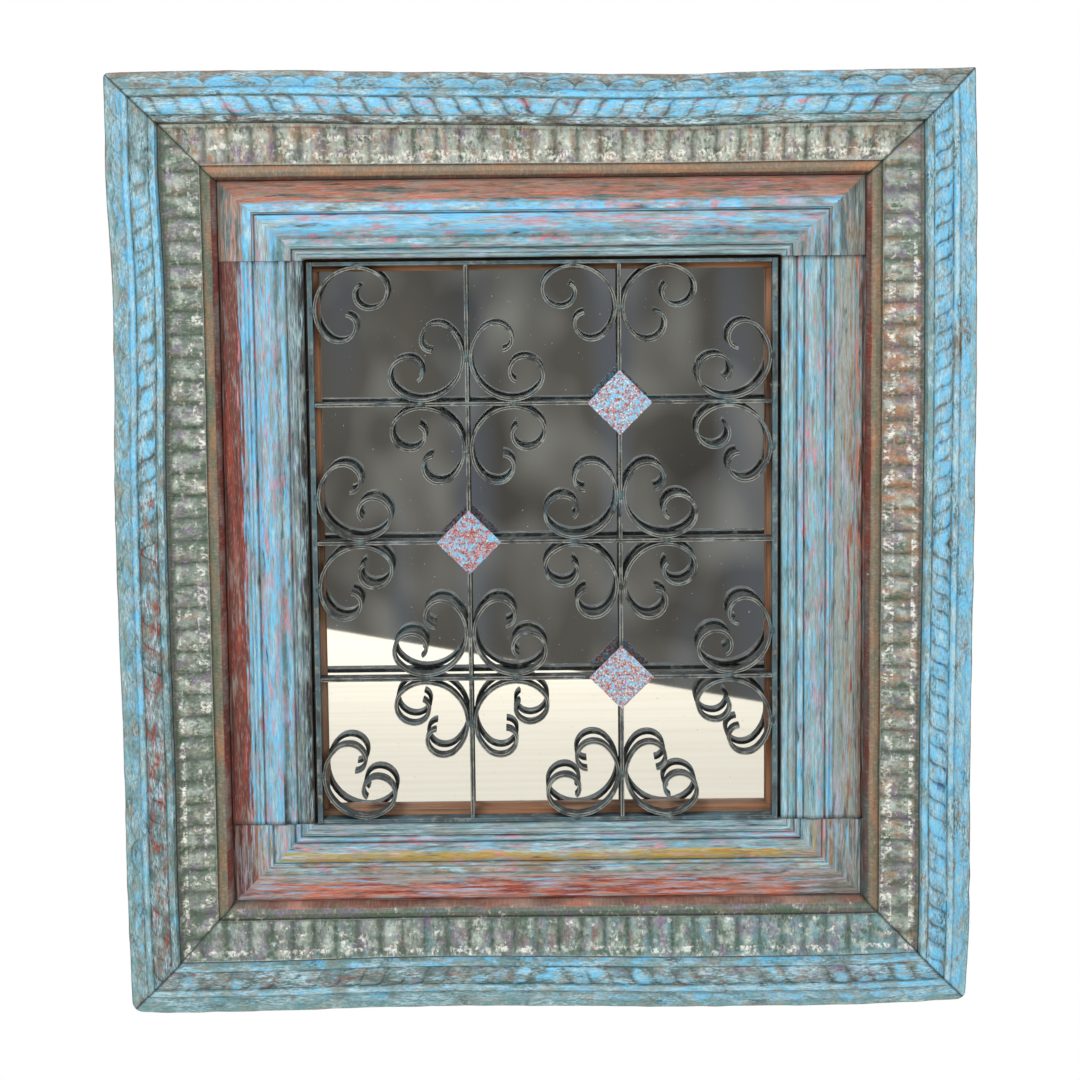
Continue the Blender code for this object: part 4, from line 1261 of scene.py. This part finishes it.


# %% [markdown]
# ## Paint of the window frame
# Each band of the section kept another coat. The flats show salmon and brick red, the torus
# sky blue with pink and lilac, the reeds bright blue on their crests and dark in their grooves,
# where dirt and painted shade lie.
# The paints lie in long streaks along the grain.

# %% Coats of the window frame, across from the opening and along it
left_wing = ((-0.56, 1.0), (-0.41, 1.0), (-0.40, 0.0), (0.56, 0.0))
right_wing = ((-0.56, 0.0), (0.40, 0.0), (0.41, 1.0), (0.56, 1.0))
window_coats = {
    "top": (
        ("dusty_pink", 1.1, 62.5, 105, (-0.41, 0.7), (-0.40, 1.0), (0.40, 1.0), (0.41, 0.3)),
        ("salmon", 0.50, 62.5, 105, (-0.41, 0.8), (-0.40, 1.0), (0.40, 1.0), (0.41, 0.4)),
        ("grey_wood", 0.22, 62.5, 105, (0.40, 1.0), (0.41, 2.2)),
        ("dull_teal", 0.50, 62.5, 105, *left_wing),
        ("drab", 0.50, 52, 105, *right_wing),
        ("pink", 0.30, 62.5, 100, (-0.38, 0.7), (0.0, 0.9), (0.2, 1.3), (0.38, 1.0)),
        ("sky", 0.44, 60, 66),
        ("tan", 0.40, 64, 86),
        ("lilac", 0.26, 62, 86),
        ("dull_teal", 0.36, 62, 84),
        ("dusty_pink", 0.50, 85, 96),
        ("sky", 0.68, 27.5, 51.5, (-0.38, 0.6), (-0.25, 1.2), (-0.05, 1.1), (0.1, 0.7),
         (0.38, 0.8)),
        ("pink", 0.33, 27.5, 51.5, (-0.38, 0.7), (-0.2, 0.7), (0.05, 1.2), (0.38, 1.0)),
        ("sky", 0.50, 27.5, 37),
        ("sky", 0.60, 52, 62, (-0.38, 0.7), (-0.2, 1.1), (0.1, 1.0), (0.38, 0.7)),
        ("teal", 0.60, 19, 26.5),
        ("sky", 0.30, 19, 26.5),
        ("sky", 0.30, -2, 18),
        ("weathered", 0.44, 19, 105, *right_wing),
        ("dull_teal", 0.40, 19, 105, *right_wing),
    ),
    "bottom": (
        ("dusty_pink", 0.56, 62.5, 86),
        ("salmon", 0.62, 71, 105, (-0.41, 0.0), (-0.38, 0.5), (-0.28, 1.0), (0.28, 1.0),
         (0.34, 0.3), (0.41, 0.0)),
        ("weathered", 0.46, 62, 74),
        ("brick", 0.46, 66, 105, (-0.41, 1.4), (-0.38, 1.0), (-0.3, 0.7), (-0.2, 0.9), (0.0, 1.1),
         (0.3, 0.8), (0.36, 0.3)),
        ("dark_red", 0.66, 70, 105, *left_wing),
        ("grey_wood", 0.50, 66, 105, (-0.38, 0.8), (-0.28, 0.5), (0.26, 0.5), (0.34, 1.3)),
        ("dull_teal", 0.50, 62, 105, *right_wing),
        ("weathered", 0.46, 62, 105, *right_wing),
        ("lilac", 0.36, 62.5, 96),
        ("sky", 0.40, 27, 62, *left_wing),
        ("sky", 0.30, 62.5, 80),
        ("gold", 0.98, 36.5, 52, (-0.34, 0.2), (-0.30, 1.0), (0.22, 1.0), (0.32, 0.4)),
        ("orange", 0.28, 38, 52, (-0.3, 0.6), (0.1, 1.0), (0.3, 1.4)),
        ("teal", 0.44, 27, 38),
        ("sky", 0.36, 27, 38),
        ("dull_teal", 0.40, 27, 36),
        ("tan", 0.44, 52, 62),
        ("sky", 0.36, 52, 60),
        ("gold", 0.32, 52, 62),
        ("sky", 0.50, 19, 26.5),
        ("sky", 0.32, -2, 18),
    ),
    "left": (
        ("brick", 1.0, 66, 105, (-0.38, 0.9), (0.2, 1.0), (0.38, 0.8)),
        ("dark_red", 0.64, 66, 105, (-0.38, 1.2), (-0.2, 0.9), (0.15, 0.9), (0.3, 1.2)),
        ("sky", 0.46, 61, 70),
        ("pink", 0.30, 62, 74),
        ("sky", 0.60, 27.5, 51.5, (-0.38, 1.15), (-0.1, 1.1), (0.1, 0.9), (0.38, 0.9)),
        ("pink", 0.36, 27.5, 51.5, (-0.38, 0.7), (0.0, 1.0), (0.38, 0.9)),
        ("sky", 0.80, 52.5, 61.5),
        ("pale_sky", 0.36, 52.5, 61.5),
        ("sky", 0.58, 19.5, 26),
        ("dull_teal", 0.60, -2, 16),
        ("violet", 0.36, -2, 18),
        # Painted shadow along the very edge of the opening.
        ("grime", 0.70, -2, 6),
    ),
    "right": (
        ("weathered", 0.56, 62.5, 86),
        ("tan", 0.40, 70, 86),
        ("brick", 0.34, 76, 86, (-0.38, 1.1), (0.1, 1.0), (0.38, 0.5)),
        ("lilac", 0.34, 62, 80),
        ("grey_wood", 0.64, 88, 105, (-0.38, 1.4), (0.0, 0.9), (0.38, 0.5)),
        ("salmon", 0.42, 86, 105, (-0.38, 0.3), (0.0, 1.0), (0.38, 1.0)),
        ("dark_red", 0.42, 90, 105),
        ("mist", 0.52, -2, 62),
        ("weathered", 0.40, 27, 62),
        ("pink", 0.36, 46, 54),
        ("sky", 0.36, 27.5, 51.5),
        ("sky", 0.48, 52, 61.5),
        ("weathered", 0.50, 19, 26.5),
        ("sky", 0.72, 19, 26.5),
        ("violet", 0.30, -2, 12),
        ("sky", 0.34, -2, 18),
        ("pale_sky", 0.46, 19, 26.5),
    ),
}
# Dirt and painted shade in the grooves of the section, and painted shadow down the inner side of
# the opening.
groove_dirt_and_shade = (
    (-45, 0.9), (-1, 0.9), (1.5, 0.2), (7, 0.0), (8.3, 0.5), (9.6, 0.0), (13.5, 0.0),
    (14.8, 0.5), (16.2, 0.1), (18.2, 0.7), (19.6, 0.0), (25.4, 0.0), (26.8, 0.4), (28.2, 0.0),
    (51, 0.0), (52.3, 0.5), (53.5, 0.0), (57, 0.0), (57.8, 0.4), (58.6, 0.0), (61.5, 0.0),
    (63, 0.3), (64.5, 0.0), (85.5, 0.0), (86.6, 0.3), (88, 0.0), (105, 0.2),
)
crack_reach, crack_black = (27.2, 29.6), paint_colour(24, 22, 20)
crack_fade = ((-0.38, 1.0), (-0.29, 0.9), (-0.26, 0.0))
end_gaps = {"left": (0.9, 0.4), "right": (0.9, 0.9)}
gap_dark, gap_clear = 0.0012, 0.0030


# %% Paint of the window frame, side by side
def window_finish(side):
    """Paint of one member of the window frame."""
    seed = member_seed[side] + 400
    paint = MouldingFinish(f"window_paint_{side}", "grey_wood", roughness=0.5)
    paint.coat("weathered", 0.66, (0.06, 0.005, 1), seed + 1, gain=5, detail=3, thickness=0.15)
    paint.coat("dull_teal", 0.36, (0.05, 0.004, 1), seed + 2, gain=5, detail=3)
    paint.coat("lilac", 0.44, (0.04, 0.005, 1), seed + 3, gain=5, detail=3)
    paint.coat("teal", 0.48, (0.05, 0.005, 1), seed + 4, gain=5, detail=3)
    paint.banded(window_coats[side], (0.050, 0.0042, 1), seed + 5, gain=8, detail=5.0,
                 thickness=0.2)
    worn = paint.band(-45, 62, 0.42)
    paint.flecks("weathered", worn, (0.05, 0.010, 1), (0.016, 0.0014, 1), seed + 60)
    paint.flecks("pale_sky", worn, (0.05, 0.010, 1), (0.020, 0.0010, 1), seed + 62, 0.15)
    paint.flecks("pink", paint.band(16, 62, 0.34), (0.04, 0.008, 1), (0.012, 0.0014, 1),
                 seed + 64)
    paint.flecks("weathered", paint.band(62, 105, 0.32), (0.06, 0.012, 1), (0.03, 0.0012, 1),
                 seed + 66)
    paint.flecks("grime", 0.26, (0.05, 0.008, 1), (0.018, 0.0009, 1), seed + 68, -0.2)
    # Dirt and painted shade in the grooves, broken in patches, and painted shadow in the reveal.
    broken = paint.cover(0.62, (0.05, 0.01, 1), seed + 43, gain=3)
    paint.mix(paint.maths("MULTIPLY", paint.across(*groove_dirt_and_shade), broken), paints["grime"])
    if side == "left":
        paint.mix(paint.band(*crack_reach, 0.95, crack_fade), crack_black)
    if side in end_gaps:
        low, high = end_gaps[side]
        paint.mix(paint.along((-0.56, low), (gap_dark - shoulder_z, low),
                              (gap_clear - shoulder_z, 0.0), (shoulder_z - gap_clear, 0.0),
                              (shoulder_z - gap_dark, high), (0.56, high)), paints["grime"])
    paint.bare_back()
    paint.mottle((0.012, 0.0014, 1), seed + 44, dark=0.30, light=0.22)
    paint.lift(paint.noise((0.012, 0.0012, 1), seed + 45), 0.5)
    paint.grain(seed + 46, strength=0.25, dark=0.4)
    return paint.done()


for side in sides:
    carved = window_rail(side) if side in ("top", "bottom") else window_stile(side)
    settle(carved, member_node("window", side), window_finish(side))

# %% [markdown]
# ## The iron grille
# A smith made it from flat strip: a rim, two uprights and three level bars, halved into each
# other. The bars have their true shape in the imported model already, so each is copied, its
# edges are worn round, and its front is hollowed a little, because hammered strip shows two
# bright edges with a dark middle between them.

# %% Bars and rims
iron_wear, front_lip, front_hollow = 0.0005, 0.0008, 0.0003
# Rims sit in the shade of the reveal, so their edges get less bright wear and painted highlight.
rim_wear_and_highlight = 0.35
bar_back, bar_front = (-level.y for level in reversed(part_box("grille_rim_top")))
print("depth of the bars:", round(bar_front - bar_back, 4))


def softened_copy(node, ending, wear, segments=2):
    """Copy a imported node, join its loose triangles and wear its edges round."""
    start_alone()
    name = f"{node}_{ending}"
    piece = bpy.data.objects.new(name, bpy.data.objects[node].data.copy())
    bpy.context.scene.collection.objects.link(piece)
    edit_only(piece)
    bpy.ops.mesh.select_all(action="SELECT")
    bpy.ops.mesh.remove_doubles(threshold=0.00001)
    bpy.ops.mesh.dissolve_limited(angle_limit=math.radians(1))
    bpy.ops.mesh.normals_make_consistent(inside=False)
    bpy.ops.object.mode_set(mode="OBJECT")
    bpy.ops.mesh.customdata_custom_splitnormals_clear()
    bevel = piece.modifiers.new("worn_edges", "BEVEL")
    bevel.width = wear
    bevel.segments = segments
    bevel.limit_method = "ANGLE"
    bpy.ops.object.modifier_apply(modifier="worn_edges")
    return piece


def select_faces(piece, wanted):
    """Select the faces whose normal and middle answer a question, in edit mode."""
    edit_only(piece, "FACE")
    bpy.ops.object.mode_set(mode="OBJECT")
    for face in piece.data.polygons:
        face.select = wanted(face.normal, face.center)
    bpy.ops.object.mode_set(mode="EDIT")


def mark_front_edges(piece, bright_share=1.0):
    """Mark the slanting faces at the front of the iron, which are rubbed bright and get a painted
    highlight.
    """
    normals = np.empty(len(piece.data.polygons) * 3)
    piece.data.polygons.foreach_get("normal", normals)
    forward = -normals.reshape(-1, 3)[:, 1]
    wear_and_highlight = piece.data.attributes.new("wear_and_highlight", "FLOAT", "FACE")
    slanting = (forward > 0.2) & (forward < 0.97)
    wear_and_highlight.data.foreach_set("value", bright_share * slanting.astype(np.float32))


def iron_bar(node):
    """One bar of the grille."""
    piece = softened_copy(node, "forged", iron_wear, segments=1)
    select_faces(piece, lambda normal, middle: normal.y < -0.99 and middle.y < hair - bar_front)
    bpy.ops.mesh.inset(thickness=front_lip, depth=-front_hollow)
    start_alone()
    mark_front_edges(piece, rim_wear_and_highlight if "rim" in node else 1.0)
    return piece


# %% [markdown]
# ## Finish of the iron
# Dark iron with a blue-grey skin of old paint, a little rust, and edges that are rubbed bright and
# carry a painted highlight.
# Paint has run into the welds. Fine pits and hammer marks are a bump, since they are smaller
# than the strip is thick.

# %% Coats of the iron
def iron_finish(name, blue):
    """Old painted iron."""
    iron = Finish(name, "iron", 0.62, metallic=0.25)
    iron.coat("grime", 0.42, (0.03, 0.03, 0.03), 5, gain=3)
    iron.coat("blue_iron", blue, (0.05, 0.05, 0.05), 6, gain=4)
    iron.coat("weathered", 0.28, (0.012, 0.012, 0.012), 7, gain=5)
    iron.coat("dark_wood", 0.22, (0.010, 0.010, 0.010), 8, gain=6)
    # Bright bare iron on the slanting front faces: wear, and a painted highlight along the edges.
    wear_and_highlight = iron.add("Attribute", attribute_name="wear_and_highlight").outputs["Fac"]
    worn = iron.cover(0.56, (0.02, 0.02, 0.02), 9, gain=5)
    weld = iron.add("Attribute", attribute_name="weld").outputs["Fac"]
    wear_and_highlight = iron.maths("SUBTRACT", wear_and_highlight, weld, clamp=True)
    iron.mix(iron.maths("MULTIPLY", wear_and_highlight, iron.maths("MULTIPLY", worn, 0.8)),
             paints["bare_iron"])
    iron.mix(iron.maths("MULTIPLY", weld, iron.cover(0.45, (0.006, 0.006, 0.006), 10)),
             paints["dull_teal"])
    iron.lift(iron.noise((0.006, 0.006, 0.006), 11), 0.35)
    iron.lift(iron.noise((0.0015, 0.0015, 0.0015), 12), 0.12)
    return iron.done()


iron_paint = iron_finish("old_iron", 0.26)
rim_paint = iron_finish("old_iron_rim", 0.58)
for bar in ("rim_top", "rim_bottom", "rim_left", "rim_right", "upright_left",
            "upright_right", "bar_top", "bar_middle", "bar_bottom"):
    settle(iron_bar(f"grille_{bar}"), f"grille_{bar}",
           rim_paint if "rim" in bar else iron_paint, angle=30)

# %% [markdown]
# ## The scrolls
# A smith bends each scroll over the anvil, one stretch after another, and every stretch is
# tighter than the last. Here the strip's own section is spun in the same way: around one centre,
# then around the next, from tip to tip. A bevelled curve would be quicker, but it rolls the
# strip and gives it no flat front. Four scrolls differ by a little, as bent by eye, and the
# others are mirrored copies of them. Weld beads join them to the bars.

# %% One scroll, spun along its arcs
scroll_radius, scroll_thickness, scroll_front = 0.050, 0.004, 0.0555
scroll_lip, touch_gap = 0.0006, 0.0003
upright_curl = ((0.92, 45), (0.44, 45), (0.40, 90), (0.25, 90))
level_curl = ((0.84, 45), (0.44, 45), (0.44, 90), (0.34, 90), (0.22, 60))
spin_step = 9
scroll_offset = touch_gap + scroll_thickness / 2


def strip_section():
    """Section of the strip: places across its thickness, and heights."""
    half, lip = scroll_thickness / 2, scroll_lip
    front = [(-half, -lip), (-half + lip, 0), (-half + 2 * lip, -front_hollow),
             (half - 2 * lip, -front_hollow), (half - lip, 0), (half, -lip)]
    back = [(half, lip), (half - lip, 0), (-half + lip, 0), (-half, lip)]
    return [(place, scroll_front + step) for place, step in front] + [
        (place, bar_back + step) for place, step in back]


def turned_about(point, centre, degrees):
    """Turn a point in front of the wall, anticlockwise as seen from the front."""
    turn = Matrix.Rotation(math.radians(-degrees), 3, "Y")
    return centre + turn @ (point - centre)


def follow(place, heading, radius, turn):
    """Centre of an arc, and where it ends and heads. A turn above 0 is anticlockwise."""
    side = math.radians(heading + math.copysign(90, turn))
    centre = place + radius * Vector((math.cos(side), 0, math.sin(side)))
    return centre, turned_about(place, centre, turn), heading + turn


def scroll(seed):
    """Spin the strip from the tip of its upright curl to the tip of its level curl."""
    bent = np.random.default_rng(seed).uniform(-1, 1, 18).tolist()
    curls = [(share * (1 + 0.03 * bent[2 * index]), turn * (1 + 0.06 * bent[2 * index + 1]))
             for index, (share, turn) in enumerate(upright_curl + level_curl)]
    inward, outward = curls[:len(upright_curl)], curls[len(upright_curl):]
    place, heading = Vector((scroll_offset, 0, scroll_offset + scroll_radius)), 90
    for share, turn in inward:
        centre, place, heading = follow(place, heading, share * scroll_radius, -turn)
    heading += 180
    section = strip_section()
    start_alone()
    bpy.ops.mesh.primitive_circle_add(vertices=len(section), radius=1)
    piece = bpy.context.object
    side = Vector((math.sin(math.radians(heading)), 0, -math.cos(math.radians(heading))))
    for point, (across, height) in zip(piece.data.vertices, section):
        point.co = place + across * side + Vector((0, -height, 0))
    edit_only(piece)
    bpy.ops.mesh.select_all(action="SELECT")
    for share, turn in inward[::-1] + [(1.0, 90)] + outward:
        centre, place, heading = follow(place, heading, share * scroll_radius, turn)
        steps = max(2, round(turn / spin_step))
        bpy.ops.mesh.spin(steps=steps, angle=math.radians(turn), center=centre, axis=(0, 1, 0))
    bpy.ops.mesh.select_non_manifold(extend=False)
    fill_and_leave()
    print("scroll ends at", [round(value, 4) for value in place], "points:",
          len(piece.data.vertices))
    return piece


scroll_patterns = [scroll(seed) for seed in (3, 5, 8, 13)]

# %% Scrolls and welds around each crossing
column_bars = ["grille_rim_left", "grille_upright_left", "grille_upright_right",
               "grille_rim_right"]
row_bars = ["grille_rim_top", "grille_bar_top", "grille_bar_middle", "grille_bar_bottom",
            "grille_rim_bottom"]
crossings = {
    "top_left": (0, 0), "top_middle": (2, 0), "upper_left": (1, 1), "upper_right": (3, 1),
    "middle_left": (0, 2), "middle_right": (2, 2), "lower_left": (1, 3),
    "lower_right": (3, 3), "bottom_left": (0, 4), "bottom_middle": (2, 4),
}
weld_long, weld_wide, weld_top, weld_sink = 0.0055, 0.0040, 0.0561, 0.0008


def weld_bead(place, along_x, seed):
    """A lump of weld metal at the front of a bar."""
    start_alone()
    bpy.ops.mesh.primitive_ico_sphere_add(subdivisions=3, radius=1)
    bead = bpy.context.object
    points = places_of(bead.data)
    rough = 1 + 0.16 * soft_noise(3 * points[:, 0] + 9, 3 * points[:, 2] + 3 * points[:, 1] + 9,
                                  seed)
    size = np.array((weld_long if along_x else weld_wide, weld_top - bar_front + weld_sink,
                     weld_wide if along_x else weld_long))
    middle = np.array((place[0], weld_sink - bar_front, place[1]))
    points = middle + points * np.minimum(rough, 1.0)[:, None] * size
    move_to(bead, points)
    melted = bead.data.attributes.new("weld", "FLOAT", "POINT")
    melted.data.foreach_set("value", np.ones(len(points), dtype=np.float32))
    return bead


def corner_scroll(pattern, corner, way):
    """Copy a scroll into one corner of a cell, mirrored to suit it."""
    piece = bpy.data.objects.new("scroll", pattern.data.copy())
    bpy.context.scene.collection.objects.link(piece)
    mirrored = Matrix.Diagonal((way[0], 1, way[1], 1))
    piece.data.transform(Matrix.Translation((corner[0], 0, corner[1])) @ mirrored)
    edit_only(piece)
    bpy.ops.mesh.select_all(action="SELECT")
    bpy.ops.mesh.normals_make_consistent(inside=False)
    start_alone()
    return piece


def weld_level(ways, low, high):
    """Level of the welds on a bar: its middle, or the side where scrolls touch a rim."""
    if len(ways) == 2:
        return (low + high) / 2
    return high + touch_gap if ways == [1] else low - touch_gap


def scroll_cluster(name, column, row):
    """All scrolls around one crossing, with their welds, as one piece."""
    low_x, high_x = (level.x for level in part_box(column_bars[column]))
    low_z, high_z = (level.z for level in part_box(row_bars[row]))
    ways_x = [way for way in (-1, 1) if 0 <= column + (way - 1) // 2 < 3]
    ways_z = [way for way in (-1, 1) if 0 <= row - (way + 1) // 2 < 4]
    pieces, touch = [], scroll_offset + scroll_radius
    for way_x in ways_x:
        for way_z in ways_z:
            corner = (high_x if way_x > 0 else low_x, high_z if way_z > 0 else low_z)
            pattern = scroll_patterns[(column + 2 * row + way_x + way_z) % 4]
            pieces.append(corner_scroll(pattern, corner, (way_x, way_z)))
    for way_z in ways_z:
        place = weld_level(ways_x, low_x, high_x), (high_z if way_z > 0 else low_z) + way_z * touch
        pieces.append(weld_bead(place, False, column + row))
    for way_x in ways_x:
        place = (high_x if way_x > 0 else low_x) + way_x * touch, weld_level(ways_z, low_z, high_z)
        pieces.append(weld_bead(place, True, 7 * column + row))
    start_alone()
    for piece in pieces:
        piece.select_set(True)
    bpy.context.view_layer.objects.active = pieces[0]
    bpy.ops.object.join()
    cluster = bpy.context.object
    cluster.name = cluster.data.name = f"scrolls_{name}_forged"
    mark_front_edges(cluster)
    return cluster


for name, (column, row) in crossings.items():
    settle(scroll_cluster(name, column, row), f"scrolls_{name}", iron_paint,
           angle=35)
for pattern in scroll_patterns:
    bpy.data.objects.remove(pattern)

# %% [markdown]
# ## The diamond plates
# Three small square plates are welded over crossings without scrolls. They are thin sheet with
# slight dents. Their sky-blue paint has flaked to white and red in fine specks.

# %% Dented plates
plate_rows = 24


def diamond_plate(node):
    """A dented plate, as a square grid turned by an eighth of a turn."""
    low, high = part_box(node)
    middle, reach = (low + high) / 2, (high.x - low.x) / 2
    seed = round(1000 * (middle.x - middle.z))

    def dent(u, v):
        edge = 1 - np.maximum(np.abs(u), np.abs(v))
        worn = 0.0004 * np.exp(-edge / 0.015)
        dents = 0.0003 * soft_noise(3 * u + 9, 3 * v + 9, abs(seed))
        ragged = 1 + 0.008 * soft_noise(5 * u + 9, 5 * v + 9, abs(seed) + 1)
        x = middle.x + reach / 2 * (u - v) * ragged
        z = middle.z + reach / 2 * (u + v) * ragged
        return x, -low.y - 0.0003 + dents - worn, z

    rows = np.linspace(-1, 1, plate_rows + 1)
    piece = carved_grid(f"{node}_dented", rows, rows, dent)
    close_back(piece, -high.y)
    return piece


def speckled_finish(name, blue, white, seed):
    """Red paint under white and sky blue, flaked in fine specks."""
    paint = Finish(name, "brick", 0.6)
    speck, flake = (0.0022, 0.0022, 0.0022), (0.0040, 0.0040, 0.0040)
    paint.coat("dark_red", 0.35, speck, seed)
    paint.coat("pink", 0.44, speck, seed + 1)
    paint.coat("sky", blue, flake, seed + 2, thickness=0.08)
    paint.coat("weathered", 0.34, speck, seed + 5, gain=8)
    paint.coat("chalk", white, speck, seed + 3, gain=8)
    paint.coat("grime", 0.16, speck, seed + 4)
    return paint.done()


for node, blue, white in (("diamond_upper", 0.50, 0.34), ("diamond_middle", 0.44, 0.30),
                          ("diamond_lower", 0.44, 0.36)):
    plate_paint = speckled_finish(f"{node}_paint", blue, white, len(node) + round(90 * blue))
    settle(diamond_plate(node), node, plate_paint, angle=30)

# %% [markdown]
# ## Wood that is bare
# The slips around the glass were planed new and never painted. The battens and the board behind
# are rough wood that nobody was meant to see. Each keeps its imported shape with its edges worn,
# and its grain follows its own length.

# %% Bare wooden pieces
def wood_finish(name, bare, dark, along, seed, darkening=0.3):
    """Bare wood with its grain along one axis: 0 for x, 2 for z."""
    wood = Finish(name, bare, 0.75)
    fine = [0.0016, 0.0016, 0.0016]
    broad = [0.012, 0.012, 0.012]
    fine[along], broad[along] = 0.09, 0.25
    wood.coat(dark, 0.42, broad, seed, gain=3)
    wood.coat(dark, 0.40, fine, seed + 1, gain=5)
    wood.coat("grime", darkening, [step * 2 for step in fine], seed + 2, gain=3)
    wood.lift(wood.noise(fine, seed + 3, detail=4), 0.12)
    return wood.done()


slip_along_x = wood_finish("slip_wood_level", "slip_wood", "tan", 0, 71)
slip_along_z = wood_finish("slip_wood_upright", "slip_wood", "tan", 2, 73)
batten_along_x = wood_finish("batten_wood_level", "dark_wood", "grime", 0, 75)
batten_along_z = wood_finish("batten_wood_upright", "dark_wood", "grime", 2, 77)
board_wood = wood_finish("board_plywood", "tan", "grey_wood", 2, 79, darkening=0.2)
for side, slip_wood, batten_wood in (("top", slip_along_x, batten_along_x),
                                     ("bottom", slip_along_x, batten_along_x),
                                     ("left", slip_along_z, batten_along_z),
                                     ("right", slip_along_z, batten_along_z)):
    slip = f"mirror_slip_{side}"
    settle(softened_copy(slip, "planed", 0.0006), slip, slip_wood)
    batten = f"batten_{side}"
    settle(softened_copy(batten, "sawn", 0.0015), batten, batten_wood)
settle(softened_copy("backing_board", "sawn", 0.0006), "backing_board", board_wood)

# %% [markdown]
# ## Screws and hangers
# Zinc-plated steel screws with cross recesses, and two straps with rings to hang the mirror by.
# The recess is a small cross that a Boolean cuts from the head, as a punch makes it.

# %% Cross recesses
recess_reach, recess_width, recess_depth = 0.0024, 0.0008, 0.0016


def recess_cutter(place, axis):
    """A cross that stands in the head of a screw, with its depth along one axis."""
    start_alone()
    arms = []
    for arm in range(2):
        bpy.ops.mesh.primitive_cube_add(size=1, location=place)
        size = [recess_width] * 3
        size[axis] = 2 * recess_depth
        free = [other for other in range(3) if other != axis]
        size[free[arm]] = 2 * recess_reach
        bpy.context.object.scale = size
        arms.append(bpy.context.object)
    for arm in arms:
        arm.select_set(True)
    bpy.ops.object.transform_apply()
    return arms


def cross_screw(node, place, axis):
    """Copy a packed screw, wear its edges and cut the recess."""
    piece = softened_copy(node, "cut", 0.0002)
    for arm in recess_cutter(place, axis):
        cut = piece.modifiers.new("recess", "BOOLEAN")
        cut.operation = "DIFFERENCE"
        cut.object = arm
        start_alone()
        piece.select_set(True)
        bpy.context.view_layer.objects.active = piece
        bpy.ops.object.modifier_apply(modifier="recess")
        bpy.data.objects.remove(arm)
    return piece


def zinc_finish():
    """Dull zinc plating with fine scratches."""
    zinc = Finish("dull_zinc", "bare_iron", 0.42, metallic=0.85)
    zinc.coat("weathered", 0.4, (0.004, 0.004, 0.004), 81, gain=3)
    zinc.coat("tan", 0.24, (0.003, 0.003, 0.003), 82, gain=5)
    zinc.lift(zinc.noise((0.0012, 0.0012, 0.0012), 83), 0.05)
    return zinc.done()


# %% Screws and hangers in their places
zinc_plate = zinc_finish()
for spot in ("top", "bottom", "left_upper", "left_lower", "right_upper", "right_lower"):
    node = f"board_screw_{spot}"
    low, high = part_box(node)
    settle(cross_screw(node, ((low.x + high.x) / 2, high.y, (low.z + high.z) / 2), 1), node,
           zinc_plate)
for spot in ("left_upper", "left_lower", "right_upper", "right_lower"):
    node = f"grille_screw_{spot}"
    low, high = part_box(node)
    head_x = high.x if spot.startswith("left") else low.x
    settle(cross_screw(node, (head_x, (low.y + high.y) / 2, (low.z + high.z) / 2), 0), node,
           zinc_plate)
for side in ("left", "right"):
    screw, strap, ring = (f"hanger_{part}_{side}" for part in ("screw", "strap", "ring"))
    low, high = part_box(screw)
    settle(cross_screw(screw, ((low.x + high.x) / 2, high.y, (low.z + high.z) / 2), 1), screw,
           zinc_plate)
    settle(softened_copy(strap, "bent", 0.0002), strap, zinc_plate)
    settle(softened_copy(ring, "bent", 0.00002), ring, zinc_plate, angle=60)

# %% [markdown]
# ## The mirror
# Plain silvered glass, so its colour is what it reflects: the dark room above and the pale floor
# below. A few specks of dust lie on it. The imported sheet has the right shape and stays.

# %% Silvered glass
mirror_roughness = 0.015


def mirror_finish():
    """Mirror with dust specks."""
    silver = Finish("mirror_silver_paint", "chalk", mirror_roughness, metallic=1.0)
    silver.colour = paint_colour(238, 240, 238)
    dust = silver.cover(0.13, (0.004, 0.004, 0.004), 91, gain=14)
    silver.mix(silver.maths("MULTIPLY", dust, 0.5), paint_colour(200, 200, 196))
    silver.tree.links.new(silver.maths("MULTIPLY_ADD", dust, -0.5, 1.0),
                          silver.shader.inputs["Metallic"])
    silver.tree.links.new(silver.maths("MULTIPLY_ADD", dust, 0.5, mirror_roughness),
                          silver.shader.inputs["Roughness"])
    return silver.done()


glass = bpy.data.objects["mirror_glass"]
glass.data.materials.clear()
glass.data.materials.append(mirror_finish())
print("mirror:", glass.name, [round(side, 4) for side in glass.dimensions])
